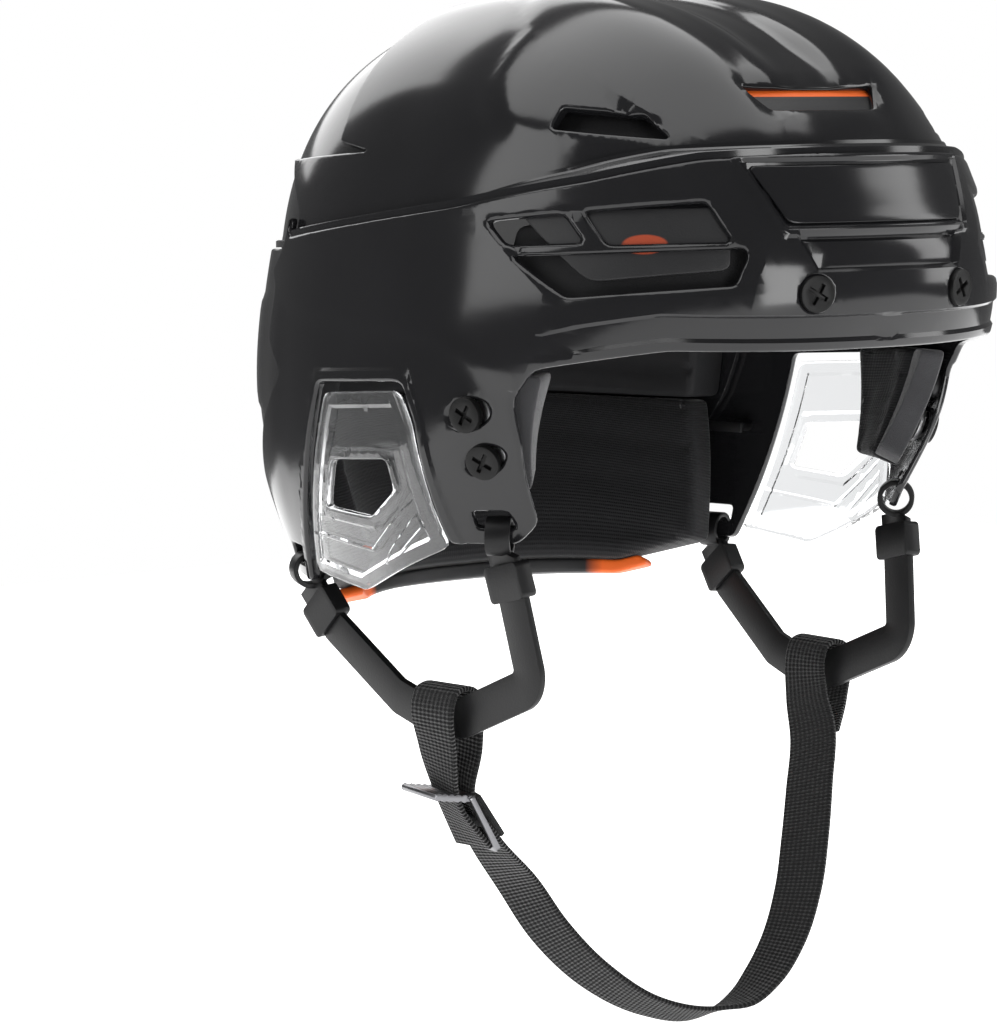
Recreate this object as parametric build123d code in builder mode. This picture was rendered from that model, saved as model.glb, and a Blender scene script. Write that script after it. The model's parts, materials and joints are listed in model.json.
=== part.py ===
from build123d import *
import os
from math import copysign, cos, pi, radians, sin

os.makedirs("parts", exist_ok=True)

# Ice hockey helmet. Millimetres, +Z up, front of the head towards -Y, wearer's left +X.
# The origin lies on the middle plane, at the height of the brow rim and at mid length.

# Driving sizes of the outer shell
shell_length = 280
shell_width = 215
crown_height = 118
shell_wall = 2.8
section_power = 2.35
section_points = 16
plate_sink = 1.2
crown_disc = 6
overlap = 0.5

# Fits
nest_gap = 0.4
seat_gap = 0.3
swing_gap = 0.7
overrun = 30
peel_margin = 1

# Liner and pads
liner_depth = 14
comfort_depth = 4
rear_liner_depth = 18
nape_depth = 14
trim_depth = 9
temple_depth = 10
felt_step = 1.5
nut_room = 3.5
insert_wall = 3
pad_round = 3

# Screws, nuts and their seats
screw_head = 11.5
screw_head_height = 2.6
screw_sink = 1.1
screw_shank = 5
shank_gap = 0.3
screw_length = 6.2
thread_gap = 0.1
cross_turn = 30
cross_width = 1.4
cross_length = 7
cross_depth = 1.5
nut_flange = 13
nut_flange_height = 1.8
nut_barrel = 8
nut_length = 2.7
nut_ease = 0.4

# Clear ear guards
guard_wall = 3
guard_sink = 0.9
guard_flange = 2

# Strap yokes, keepers and their slots
yoke_width = 13
yoke_wall = 2.5
yoke_bend = 8
ring_wall = 1.7
ring_bore = 9.4
ring_width = 8
slot_bar = 5.2
slot_height = 6.5
slot_width = 13.4
keeper_length = 12
keeper_wall = 1.8

strap_gap = 0.15

# Chin webbing and its slide buckle
fold_steps = 5
fold_rise = 3.5
webbing_width = 19
webbing_wall = 1.6
buckle_width = 24
buckle_length = 23
buckle_wall = 1.7
buckle_rail = 3
buckle_tab = 13
buckle_tab_turn = 52
tab_rib = 1.3
tab_ribs = 5

# Rear size dial
dial_diameter = 34
dial_height = 9
dial_grips = 16
grip_radius = 2
housing_diameter = 32
housing_height = 6.5
housing_face = 1.5
housing_gap = 1.2
dial_lift = 0.8
dial_chamfer = 1
spindle_diameter = 5
pinion_diameter = 9
pinion_teeth = 12
pinion_height = 3.5
tape_wall = 1.2
tape_height = 4
tape_overlap = 12
rivet_diameter = 4
tooth_height = 0.7
dial_drop = 50

# One part of the drawn outlines and tables, which follow the shell's size
along = shell_length / 280
across = shell_width / 215
upward = crown_height / 118

# Depths at which the rear shell and the liners start
nest = shell_wall + nest_gap
liner_seat = shell_wall + seat_gap
nut_seat = liner_seat + nut_ease
rear_seat = nest + shell_wall + seat_gap
tape_seat = nest + shell_wall + housing_gap + housing_face + seat_gap
nape_seat = tape_seat + tape_wall + seat_gap

# Sections of the lower band: height, half width, front and rear half length
band_shares = [
    (-106, 96, 50, 108),
    (-62, 104, 74, 127),
    (-25, 107.5, 109.6, 144),
    (5, 105.8, 135.5, 145),
    (42, 101.2, 136.8, 137),
    (80, 90, 124, 124),
]
# Sections of the dome, which rises inside the band
dome_shares = [
    (12, 99.5, 128, 140),
    (45, 97.5, 125.5, 134.5),
    (72, 89, 114, 124.5),
    (92, 75, 94.5, 109),
    (106, 57, 69, 85),
    (114, 36, 41.5, 53),
]
# Shoulder line where the band ends, in side view
shoulder_shares = [(-150, 67), (-111, 63.5), (-87, 57), (-38, 48), (60, 36), (150, 32)]
# Lower and trailing edges of the front shell in side view, from the rear of the shoulder
front_edge_shares = [
    (58, 44), (63, 32), (72, 24), (66, 19), (69.5, 1), (57, -10), (72, -25), (86, -48), (85, -81),
    (47, -81), (26, -11), (-21, -8), (-41, -44), (-41, -60), (-58, -60), (-69, -50), (-75, -6),
    (-92, 1), (-112, 4.5), (-150, 3),
]
# Trailing edge of the front dome, with the wedge notch over the side panel
dome_edge_shares = [(79, 62), (16, 65.5), (38, 68.5), (46, 100), (46, 130), (-150, 130)]
rear_band_shares = [(150, -89), (84, -89), (79, -62), (58, -28), (49, -6), (32, 3), (32, 39)]
rear_dome_shares = [(150, 130), (8, 130), (8, 42)]

# Vents: side scoop with its bar and strut, upper slot and front centre vent
scoop_shares = [(-54, 44), (-117, 51), (-128, 34), (-127, 25), (-86, 21)]
scoop_bar_shares = [(-50, 35), (-50, 32), (-132, 36.5), (-132, 39)]
scoop_strut_shares = [(-88, 50), (-80, 50), (-98, 33), (-106, 33)]
upper_slot_shares = [(-66, 79), (-66, 72.5), (-96, 69.5), (-84, 76)]
upper_flare_shares = [(-72, 86), (-84, 76), (-101, 70), (-84, 73)]
front_vent_shares = [(0, 86), (28, 86), (22, 79), (0, 79)]
pocket_shares = [(0, 62), (44, 62), (37, 42.5), (0, 42.5)]
plate_shares = [(0, 61), (43, 61), (36, 43.5), (0, 43.5)]

# Inserts that show through the vents
insert_shares = [(-64, 48), (-122, 50), (-126, 30), (-92, 26)]
front_insert_shares = [(0, 89), (32, 89), (26, 76), (0, 76)]

# Liners and pads in side view
forehead_shares = [(-150, 52), (-62, 44), (-58, 3), (-150, 6)]
comfort_shares = [(-150, 40), (-66, 34), (-62, 6), (-150, 8)]
front_crown_shares = [(-110, 66), (-100, 130), (-8, 130), (-8, 66)]
rear_crown_shares = [(24, 130), (112, 130), (118, 48), (24, 48)]
rear_liner_shares = [(150, 26), (52, 26), (60, -29), (150, -33)]
nape_shares = [(150, -34), (62, -30), (52, -84), (84, -93), (150, -93)]
trim_shares = [(150, -93.4), (84, -93.4), (52, -84.4), (42, -86), (84, -97), (150, -97)]
temple_shares = [(-62, -4), (-25, -4), (-29, -46), (-53, -48.5)]
felt_shares = [(-71, -4), (-62.5, -4), (-53.5, -48.5), (-61, -46)]

# Ear guard, its hidden flange and its window in side view
guard_shares = [(23, -14), (-19, -11), (-37, -46), (-31, -62), (4, -80), (43.5, -77)]
flange_shares = [(26, -4), (-25, -2), (-40, -36), (-33, -38), (-18, -15), (22, -17)]
window_shares = [(19, -36.5), (-13, -34), (-16, -44), (-2, -54), (25, -53)]

# Places of fasteners and harness anchors
forehead_screw_share = (30, 22)
side_screw_shares = [(-51, -17), (-54, -32)]
front_anchor_share = (-49.5, -57.4)
rear_anchor_share = (56, -78.4)
loop_share = (82, -13, -116)
tape_start_share = 44
# Middle line of a strap yoke, from the front anchor past the webbing loop to the rear one
yoke_shares = [
    (-49.2, -62), (-53, -78), (-58, -105), (-21, -120.5), (-4, -121.5), (12, -117), (44, -96.5),
    (55.6, -83),
]
# Places of the keepers, as parts of the yoke's first and last run
keeper_shares = {"front": 0.6, "rear": 0.36}

# Chin webbing from its right loop to its left one: middle point, turn of its width, tilt
webbing_route = [
    (-82, -13, -114, -80, 0), (-79.5, -11.5, -131, -88, 4), (-77, -10, -148, -106, 14),
    (-67.5, -10.5, -165, -103, 22), (-51.5, -11, -182, -90, 30), (-41.5, -16, -199, -87, 34),
    (-28.5, -23.5, -214.5, -93, 33), (-12, -33, -226, -107, 30), (3, -40.5, -229.5, -120, 25),
    (11, -44, -228, -122, 13), (18, -47, -225, -114, -3), (25.5, -48.5, -218.5, -100, -8),
    (35, -48, -207.5, -88, -6), (45, -44.5, -191.5, -81, -4), (54, -38, -174.5, -80, -4),
    (62.5, -30.5, -159, -81, -1), (72, -22.5, -143, -83, 2), (79.5, -15, -131, -88, 1),
    (82, -13, -114, -88, 0),
]
# Half the space between the two layers of the webbing, at each end loop
right_loop_spread = [5.8, 5.6, 2.6, 2.2]
left_loop_spread = [5.6, 5.4, 1.2]


def drawn(shares):
    """Side view outline in lengths."""
    return [(y * along, z * upward) for y, z in shares]


def section(row, lift, inset):
    """Horizontal section of the shell, drawn in by the inset, as a face closed at its right side."""
    half, front, rear = row[1] * across - inset, row[2] * along - inset, row[3] * along - inset
    points = []
    for step in range(section_points):
        turn = 2 * pi * step / section_points - pi / 2
        side, ahead = sin(turn), cos(turn)
        reach = front if ahead > 0 else rear
        x = half * copysign(abs(side) ** (2 / section_power), side)
        y = -reach * copysign(abs(ahead) ** (2 / section_power), ahead)
        points.append((x, y))
    with BuildSketch(Plane.XY.offset(lift)) as ring:
        with BuildLine():
            Spline(*points, periodic=True)
        make_face()
    return ring.sketch.faces()[0]


def rounded_form(shares, top, inset=0):
    """Solid lofted through a table of sections, up to the top point if there is one."""
    sections = [section(row, row[0] * upward, inset) for row in shares]
    if top:
        sections.append(Vertex(0, 0, top))
    with BuildPart() as form:
        loft(sections=sections)
    return form.part


# Outer faces by form and depth, peeled off a form that is drawn a margin too large
faces_at = {}


def skin(form, depth):
    """Outer face of the band or dome, moved inward by the depth."""
    if (form, depth) not in faces_at:
        shares, top = (
            (band_shares, 0) if form == "band" else (dome_shares, crown_height + peel_margin)
        )
        whole = rounded_form(shares, top, -peel_margin).faces().sort_by(SortBy.AREA)[-1]
        with BuildPart() as peel:
            thicken(whole, amount=-depth - peel_margin)
        faces_at[(form, depth)] = -peel.faces().sort_by(SortBy.AREA)[-2]
    return faces_at[(form, depth)]


def side_prism(outline, radius=0):
    """Prism across the left half of the helmet over a side view outline."""
    with BuildPart() as prism:
        with BuildSketch(Plane.YZ):
            with BuildLine():
                if radius:
                    FilletPolyline(*outline, radius=radius, close=True)
                else:
                    Polyline(*outline, close=True)
            make_face()
        extrude(amount=shell_width / 2 + overrun)
    return prism.part


def front_prism(outline, radius=0):
    """Prism from the middle of the helmet forward, over a front view outline."""
    with BuildPart() as prism:
        with BuildSketch(Plane.XZ):
            with BuildLine():
                if radius:
                    FilletPolyline(*outline, radius=radius, close=True)
                else:
                    Polyline(*outline, close=True)
            make_face()
        extrude(amount=shell_length / 2 + overrun)
    return prism.part


def front_drawn(shares):
    """Front view outline in lengths."""
    return [(x * across, z * upward) for x, z in shares]


def layer(form, outer, depth, *keeps):
    """Left half of a layer from one depth to the next, kept inside every given prism."""
    with BuildPart() as piece:
        thicken(skin(form, outer), amount=-depth)
        for keep in keeps:
            add(keep, mode=Mode.INTERSECT)
    return piece.part


def write_part(half, name, sides=None):
    """Writes a left half as a whole piece, or as the pieces of each side."""
    if sides:
        for side in sides:
            with BuildPart() as piece:
                add(half if side > 0 else mirror(half, about=Plane.YZ, mode=Mode.PRIVATE))
            piece.part.label = f"{name}_{side_names[side]}"
            export_step(piece.part, f"parts/{name}_{side_names[side]}.step")
    else:
        with BuildPart() as piece:
            add([half, mirror(half, about=Plane.YZ, mode=Mode.PRIVATE)])
        piece.part.label = name
        export_step(piece.part, f"parts/{name}.step")


def surface_seat(start, heading):
    """Plane on the band's outer face where a line from inside leaves it, its normal outward."""
    line = Axis(start, heading)
    hits = skin("band", 0).find_intersection_points(line)
    place, normal = max(hits, key=lambda hit: (hit[0] - line.position).dot(line.direction))
    if normal.dot(line.direction) < 0:
        normal = -normal
    return Plane(origin=place, x_dir=(0, 0, 1), z_dir=normal)


def other_side(seat):
    """The same seat on the right side."""
    start, away, out = seat.origin, seat.x_dir, seat.z_dir
    return Plane(
        origin=(-start.X, start.Y, start.Z), x_dir=(-away.X, away.Y, away.Z),
        z_dir=(-out.X, out.Y, out.Z),
    )


def rod(seat, radius, start, length):
    """Cylinder on a seat, from a height above it, along its normal."""
    with BuildPart() as piece:
        with BuildSketch(seat.offset(start)):
            Circle(radius)
        extrude(amount=length)
    return piece.part


brow_place = surface_seat(
    (forehead_screw_share[0] * across, 0, forehead_screw_share[1] * upward), (0, -1, 0)
)
side_places = [surface_seat((0, y, z), (1, 0, 0)) for y, z in drawn(side_screw_shares)]
left_anchors = [
    surface_seat((0, *drawn([place])[0]), (1, 0, 0))
    for place in (front_anchor_share, rear_anchor_share)
]
anchors = {1: left_anchors, -1: [other_side(seat) for seat in left_anchors]}


def anchor_slot(seat):
    """Slot in the shell above the bar that a strap ring goes round."""
    with BuildPart() as slot:
        with BuildSketch(seat.offset(-overrun / 2)):
            with Locations((slot_bar / 2 + slot_height / 2, 0)):
                Rectangle(slot_height, slot_width)
        extrude(amount=overrun)
    return slot.part


def shell(depth, band_outline, dome_keep):
    """Left half of one shell at a depth of the form, its band and dome kept inside an outline."""
    zone = side_prism(sunk_shoulder(depth) + sunk_shoulder(depth + shell_wall)[::-1])
    with BuildPart() as strip:
        add(zone)
        add(side_prism(band_outline), mode=Mode.INTERSECT)
    with BuildPart() as ledge:
        add(layer("band", depth, liner_depth, strip.part))
        core = rounded_form(dome_shares, crown_height - depth, depth + shell_wall / 2)
        add(core, mode=Mode.SUBTRACT)
    with BuildPart() as body:
        add(layer("band", depth, shell_wall, side_prism(band_outline)))
        add([ledge.part, layer("dome", depth, shell_wall, dome_keep)])
    return body.part


def sunk_shoulder(depth, start=-shell_length, stop=shell_length):
    """Shoulder line lowered by a depth, between two places along the helmet."""
    line = drawn(shoulder_shares)
    inside = [point for point in line if start < point[0] < stop]
    ends = []
    for place in (start, stop):
        for (y0, z0), (y1, z1) in zip(line, line[1:]):
            if y0 <= place <= y1:
                ends.append((place, z0 + (z1 - z0) * (place - y0) / (y1 - y0)))
    if start > line[0][0]:
        inside = ends[:1] + inside
    if stop < line[-1][0]:
        inside = inside + ends[-1:]
    return [(y, z - depth) for y, z in inside]


front_edge = drawn(front_edge_shares)
rear_band = drawn(rear_band_shares)
rear_dome = drawn(rear_dome_shares)
side_names = {-1: "right", 1: "left"}

# Front shell with its vents, plate pocket, screw seats and strap slots
front_band_outline = sunk_shoulder(0, stop=front_edge[0][0]) + front_edge
front_dome_outline = (
    sunk_shoulder(shell_wall, stop=front_edge[0][0]) + [front_edge[0]] + drawn(dome_edge_shares)
)
with BuildPart() as scoop:
    add(side_prism(drawn(scoop_shares)))
    add(side_prism(drawn(scoop_bar_shares)), mode=Mode.SUBTRACT)
    add(side_prism(drawn(scoop_strut_shares)), mode=Mode.SUBTRACT)
with BuildPart() as open_dome:
    add(side_prism(front_dome_outline))
    with BuildSketch():
        Circle(crown_disc)
    extrude(amount=shell_length, mode=Mode.SUBTRACT)
with BuildPart() as crown_half:
    with BuildSketch(Plane.XY.offset(crown_height)):
        Circle(crown_disc + overlap)
        Rectangle(shell_width, shell_width, align=(Align.MAX, Align.CENTER), mode=Mode.SUBTRACT)
    extrude(amount=-shell_wall)
with BuildPart() as front_half:
    add(shell(0, front_band_outline, open_dome.part))
    add(crown_half.part)
    add(scoop.part, mode=Mode.SUBTRACT)
    for vent_shares in (upper_slot_shares, upper_flare_shares):
        add(side_prism(drawn(vent_shares)), mode=Mode.SUBTRACT)
    add(front_prism(front_drawn(front_vent_shares)), mode=Mode.SUBTRACT)
    add(layer("band", 0, plate_sink, front_prism(front_drawn(pocket_shares))), mode=Mode.SUBTRACT)
    for seat in [brow_place] + side_places:
        add(rod(seat, screw_head / 2 + shank_gap, -screw_sink, overrun), mode=Mode.SUBTRACT)
        add(rod(seat, screw_shank / 2 + shank_gap, -overrun, 2 * overrun), mode=Mode.SUBTRACT)
    for seat in left_anchors:
        add(anchor_slot(seat), mode=Mode.SUBTRACT)
write_part(front_half.part, "front_shell")

# Bare plate over the brow
write_part(
    layer("band", 0, plate_sink - seat_gap, front_prism(front_drawn(plate_shares))), "brow_plate"
)

# Rear shell, nested inside the front one, with the hole for the dial's spindle
rear_band_outline = sunk_shoulder(nest, start=rear_band[-1][0]) + rear_band[:-1]
rear_dome_outline = (
    sunk_shoulder(nest + shell_wall, start=rear_dome[-1][0]) + rear_dome[:-1]
)
dial_skin = surface_seat((0, 0, -dial_drop), (0, 1, 0))
dial_place, dial_out = dial_skin.offset(-nest).origin, dial_skin.z_dir
dial_seat = Plane(
    origin=(0, dial_place.Y, dial_place.Z), x_dir=(1, 0, 0), z_dir=(0, dial_out.Y, dial_out.Z)
)
housing_depth = shell_wall + housing_gap + housing_height
housing_pocket = rod(
    dial_seat, housing_diameter / 2 + seat_gap, -housing_depth - seat_gap, housing_depth
)
with BuildPart() as rear_half:
    add(shell(nest, rear_band_outline, side_prism(rear_dome_outline)))
    spindle_hole = rod(dial_seat, spindle_diameter / 2 + swing_gap, -overrun, 2 * overrun)
    add(spindle_hole, mode=Mode.SUBTRACT)
write_part(rear_half.part, "rear_shell")

# Layers of the liners, pads and inserts: form, depth, thickness, outline and corner rounding
liner_wall = liner_depth - nut_room
comfort_seat = liner_seat + liner_depth + seat_gap
temple_seat = liner_seat + nut_room
crown_wall = liner_depth + liner_seat - rear_seat
layers = {
    "forehead_liner": ("band", temple_seat, liner_wall, forehead_shares, 0),
    "brow_comfort_pad": ("band", comfort_seat, comfort_depth, comfort_shares, 0),
    "front_crown_liner": ("dome", temple_seat, liner_wall, front_crown_shares, 0),
    "rear_crown_liner": ("dome", rear_seat, crown_wall, rear_crown_shares, 0),
    "rear_liner": ("band", rear_seat, rear_liner_depth, rear_liner_shares, 0),
    "nape_pad": ("band", nape_seat, nape_depth, nape_shares, 0),
    "nape_trim": ("band", nape_seat, trim_depth, trim_shares, 0),
}
paired_layers = {
    "side_vent_insert": ("band", liner_seat, insert_wall, insert_shares, 0),
    "temple_pad": ("band", temple_seat, temple_depth, temple_shares, pad_round),
    "temple_felt": ("band", temple_seat, temple_depth - felt_step, felt_shares, 0),
}
for group, sides in ((layers, None), (paired_layers, (-1, 1))):
    for name, (form, outer, depth, shares, rounding) in group.items():
        with BuildPart() as half:
            add(layer(form, outer, depth, side_prism(drawn(shares), rounding)))
            if name in ("rear_liner", "nape_pad"):
                add(housing_pocket, mode=Mode.SUBTRACT)
        write_part(half.part, name, sides)

# Insert behind the front vent
write_part(
    layer("dome", liner_seat, insert_wall, front_prism(front_drawn(front_insert_shares))),
    "front_vent_insert",
)

# Clear ear guards, each a plate in the shell's opening with a flange behind its edge
with BuildPart() as ear_guard:
    add(layer("band", guard_sink, guard_wall, side_prism(drawn(guard_shares), pad_round)))
    add(layer("band", liner_seat, guard_flange, side_prism(drawn(flange_shares))))
    add(side_prism(drawn(window_shares)), mode=Mode.SUBTRACT)
write_part(ear_guard.part, "ear_guard", (-1, 1))


def cross_recess(seat):
    """Cross slot in a screw head."""
    with BuildPart() as cross:
        with BuildSketch(seat.offset(screw_head_height - screw_sink - cross_depth)):
            Rectangle(cross_length, cross_width, rotation=cross_turn)
            Rectangle(cross_width, cross_length, rotation=cross_turn)
        extrude(amount=cross_depth + overrun)
    return cross.part


# Screws and their nuts, by place
for place, seats in {"forehead": [brow_place], "side": side_places}.items():
    with BuildPart() as screws:
        for seat in seats:
            add(rod(seat, screw_head / 2, -screw_sink, screw_head_height))
            add(rod(seat, screw_shank / 2, -screw_length, screw_length))
            add(cross_recess(seat), mode=Mode.SUBTRACT)
    write_part(screws.part, f"{place}_screws")
    with BuildPart() as nuts:
        for seat in seats:
            add(rod(seat, nut_flange / 2, -nut_seat - nut_flange_height, nut_flange_height))
            add(rod(seat, nut_barrel / 2, -nut_seat - nut_length, nut_length))
            add(rod(seat, screw_shank / 2 + thread_gap, -overrun, overrun), mode=Mode.SUBTRACT)
    write_part(nuts.part, f"{place}_nuts")

# Size dial on the rear shell: housing, grip, spindle and pinion
housing_seat = dial_seat.offset(-housing_depth)
channel = pinion_diameter + 2 * (tape_height + 5 * seat_gap)
with BuildPart() as dial_housing:
    with BuildSketch(housing_seat):
        Circle(housing_diameter / 2)
    extrude(amount=housing_height)
    with BuildSketch(housing_seat):
        Rectangle(housing_diameter, channel)
    extrude(amount=housing_height - housing_face, mode=Mode.SUBTRACT)
    with BuildSketch(housing_seat):
        Circle(spindle_diameter / 2 + shank_gap)
    extrude(amount=housing_height, mode=Mode.SUBTRACT)
dial_housing.part.label = "dial_housing"
export_step(dial_housing.part, "parts/dial_housing.step")
with BuildPart() as size_dial:
    with BuildSketch(dial_seat.offset(dial_lift)):
        Circle(dial_diameter / 2)
    extrude(amount=dial_height)
    chamfer(size_dial.faces().sort_by(Axis.Y)[-1].edges(), length=dial_chamfer)
    with BuildSketch(dial_seat.offset(dial_lift)):
        with PolarLocations(dial_diameter / 2 + grip_radius / 2, dial_grips):
            Circle(grip_radius)
    extrude(amount=dial_height, mode=Mode.SUBTRACT)
    with BuildSketch(housing_seat):
        Circle(spindle_diameter / 2)
    extrude(amount=housing_depth + dial_lift)
size_dial.part.label = "size_dial"
export_step(size_dial.part, "parts/size_dial.step")

# Spindle pinion and the two size tapes that it drives
pinion_pitch = pinion_diameter / 2
with BuildPart() as dial_pinion:
    with BuildSketch(housing_seat.offset(seat_gap)):
        Circle(pinion_pitch - tooth_height)
        with PolarLocations(pinion_pitch - tooth_height, pinion_teeth):
            Rectangle(2 * tooth_height, tooth_height)
    extrude(amount=pinion_height)
    with BuildSketch(housing_seat):
        Circle(spindle_diameter / 2)
    extrude(amount=housing_height, mode=Mode.SUBTRACT)
dial_pinion.part.label = "dial_pinion"
export_step(dial_pinion.part, "parts/dial_pinion.step")

tape_start = tape_start_share * along
tape_row = dial_skin.offset(-tape_seat - tape_wall / 2).origin.Z
upright = dial_skin.x_dir.Z
for side in (-1, 1):
    middle = tape_row + side * upright * (pinion_pitch + seat_gap + tape_height / 2)
    low, high = middle - upright * tape_height / 2, middle + upright * tape_height / 2
    tape_outline = [(tape_start, low), (shell_length, low), (shell_length, high), (tape_start, high)]
    rivet = surface_seat((0, tape_start + rivet_diameter, middle), (1, 0, 0))
    tape_layer = layer("band", tape_seat, tape_wall, side_prism(tape_outline))
    with BuildPart() as reach:
        with Locations((shell_width - tape_overlap, 0, 0)):
            Box(2 * shell_width, 2 * shell_length, 2 * shell_length)
    with BuildPart() as size_tape:
        add([tape_layer, mirror(tape_layer, about=Plane.YZ, mode=Mode.PRIVATE)])
        add(reach.part, mode=Mode.INTERSECT)
        add(rod(rivet, rivet_diameter / 2, -tape_seat - tape_wall / 2,
                tape_seat + tape_wall / 2 - liner_seat))
    write_part(size_tape.part, "size_tape", (side,))


def yoke_plane(side):
    """Middle plane of one strap yoke, through its two rings and the webbing loop."""
    front, rear = (seat.offset(-shell_wall / 2).origin for seat in anchors[side])
    loop = Vector(side * loop_share[0] * across, loop_share[1] * along, loop_share[2] * upward)
    normal = (rear - front).cross(loop - front).normalized()
    if normal.X * side < 0:
        normal = -normal
    return Plane(origin=front, x_dir=rear - front, z_dir=normal)


def on_plane(plane, point):
    """Sketch place on a plane of a side view point."""
    start, normal = plane.origin, plane.z_dir
    y, z = point
    x = start.X - (normal.Y * (y - start.Y) + normal.Z * (z - start.Z)) / normal.X
    local = plane.to_local_coords(Vector(x, y, z))
    return (local.X, local.Y)


# Moulded strap yokes, one flat strap a side with a ring round the bar of each shell slot
for side in (-1, 1):
    plane = yoke_plane(side)
    path = [on_plane(plane, point) for point in drawn(yoke_shares)]
    with BuildPart() as yoke:
        with BuildSketch(plane.offset(-yoke_wall / 2)):
            with BuildLine():
                FilletPolyline(*path, radius=yoke_bend)
            trace(line_width=yoke_width)
        extrude(amount=yoke_wall)
        for anchor in anchors[side]:
            with BuildSketch(anchor.offset(-overrun / 2)):
                with Locations((overrun / 2 - slot_bar / 2 - 2 * swing_gap, 0)):
                    Rectangle(overrun, overrun)
            extrude(amount=overrun, mode=Mode.SUBTRACT)
        for anchor in anchors[side]:
            middle = anchor.offset(-shell_wall / 2)
            ring = Plane(origin=middle.origin, x_dir=middle.x_dir, z_dir=middle.y_dir)
            with BuildSketch(ring):
                Circle(ring_bore / 2 + ring_wall)
            extrude(amount=ring_width / 2, both=True)
            with BuildSketch(ring):
                Circle(ring_bore / 2)
            extrude(amount=ring_width, both=True, mode=Mode.SUBTRACT)
    yoke.part.label = f"yoke_{side_names[side]}"
    export_step(yoke.part, f"parts/yoke_{side_names[side]}.step")
    for name, run in (("front", path[:2]), ("rear", path[-2:])):
        start, lean = Vector(*run[0]), Vector(*run[1]) - Vector(*run[0])
        seat = Plane(
            origin=plane.from_local_coords(start + lean * keeper_shares[name]),
            x_dir=plane.x_dir * lean.X + plane.y_dir * lean.Y,
            z_dir=plane.z_dir,
        )
        with BuildPart() as keeper:
            with BuildSketch(seat.offset(-yoke_wall / 2 - keeper_wall)):
                RectangleRounded(keeper_length, yoke_width + 2 * keeper_wall, keeper_wall)
            extrude(amount=yoke_wall + 2 * keeper_wall)
            with BuildSketch(seat.offset(-yoke_wall / 2 - strap_gap)):
                Rectangle(2 * keeper_length, yoke_width + 2 * strap_gap)
            extrude(amount=yoke_wall + 2 * strap_gap, mode=Mode.SUBTRACT)
        keeper.part.label = f"keeper_{name}_{side_names[side]}"
        export_step(keeper.part, f"parts/keeper_{name}_{side_names[side]}.step")


def webbing_station(index):
    """Middle, width direction and outward normal of the webbing's route at a point."""
    x, y, z, turn, tilt = webbing_route[index]
    here = Vector(x, y, z)
    before = Vector(*webbing_route[max(index - 1, 0)][:3])
    after = Vector(*webbing_route[min(index + 1, len(webbing_route) - 1)][:3])
    ahead = (after - before).normalized()
    if index in (0, len(webbing_route) - 1):
        ahead = Vector(0, 0, -1 if index == 0 else 1)
    width = Vector(
        cos(radians(turn)) * cos(radians(tilt)), sin(radians(turn)) * cos(radians(tilt)),
        sin(radians(tilt)),
    )
    width = (width - ahead * width.dot(ahead)).normalized()
    return here, width, ahead.cross(width).normalized(), ahead


def loop_stations(indices, spreads, heading):
    """Free layer, fold over the yoke and main layer at one end of the webbing."""
    free, main = [], []
    for index, spread in zip(indices, spreads):
        here, width, normal, ahead = webbing_station(index)
        free.append((here + normal * spread, width, ahead * -heading))
        main.append((here - normal * spread, width, ahead * heading))
    here, width, normal, ahead = webbing_station(indices[0])
    fold = []
    for step in range(1, fold_steps):
        turn = pi * step / fold_steps
        point = here + normal * (spreads[0] * cos(turn)) + Vector(0, 0, fold_rise * sin(turn))
        along_fold = normal * (-sin(turn) * spreads[0]) + Vector(0, 0, fold_rise * cos(turn))
        fold.append((point, width, along_fold))
    return free[::-1] + fold + main


last = len(webbing_route) - 1
near_end = loop_stations([0, 1, 2, 3], right_loop_spread, 1)
far_end = loop_stations([last, last - 1, last - 2], left_loop_spread, -1)
middle_run = []
for index in range(4, last - 2):
    here, width, normal, ahead = webbing_station(index)
    middle_run.append((here, width, ahead))
stations = near_end + middle_run + [(p, w, a * -1) for p, w, a in reversed(far_end)]
with BuildPart() as chin_webbing:
    for point, width, ahead in stations:
        with BuildSketch(Plane(origin=point, x_dir=width, z_dir=ahead)):
            Rectangle(webbing_width, webbing_wall)
    loft(ruled=True)
chin_webbing.part.label = "chin_webbing"
export_step(chin_webbing.part, "parts/chin_webbing.step")
webbing_length = sum((b[0] - a[0]).length for a, b in zip(stations, stations[1:]))
print("chin webbing length", round(webbing_length), "volume ratio",
      round(chin_webbing.part.volume / (webbing_length * webbing_width * webbing_wall), 3))

# Free end of the webbing past the buckle, lying on the main layer
tail = []
for index, spread in ((2, right_loop_spread[2]), (3, right_loop_spread[3])):
    here, width, normal, ahead = webbing_station(index)
    tail.append((here - normal * (spread + webbing_wall + seat_gap), width, ahead))
with BuildPart() as webbing_tail:
    for point, width, ahead in tail:
        with BuildSketch(Plane(origin=point, x_dir=width, z_dir=ahead)):
            Rectangle(webbing_width, webbing_wall)
    loft(ruled=True)
webbing_tail.part.label = "webbing_tail"
export_step(webbing_tail.part, "parts/webbing_tail.step")

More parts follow.
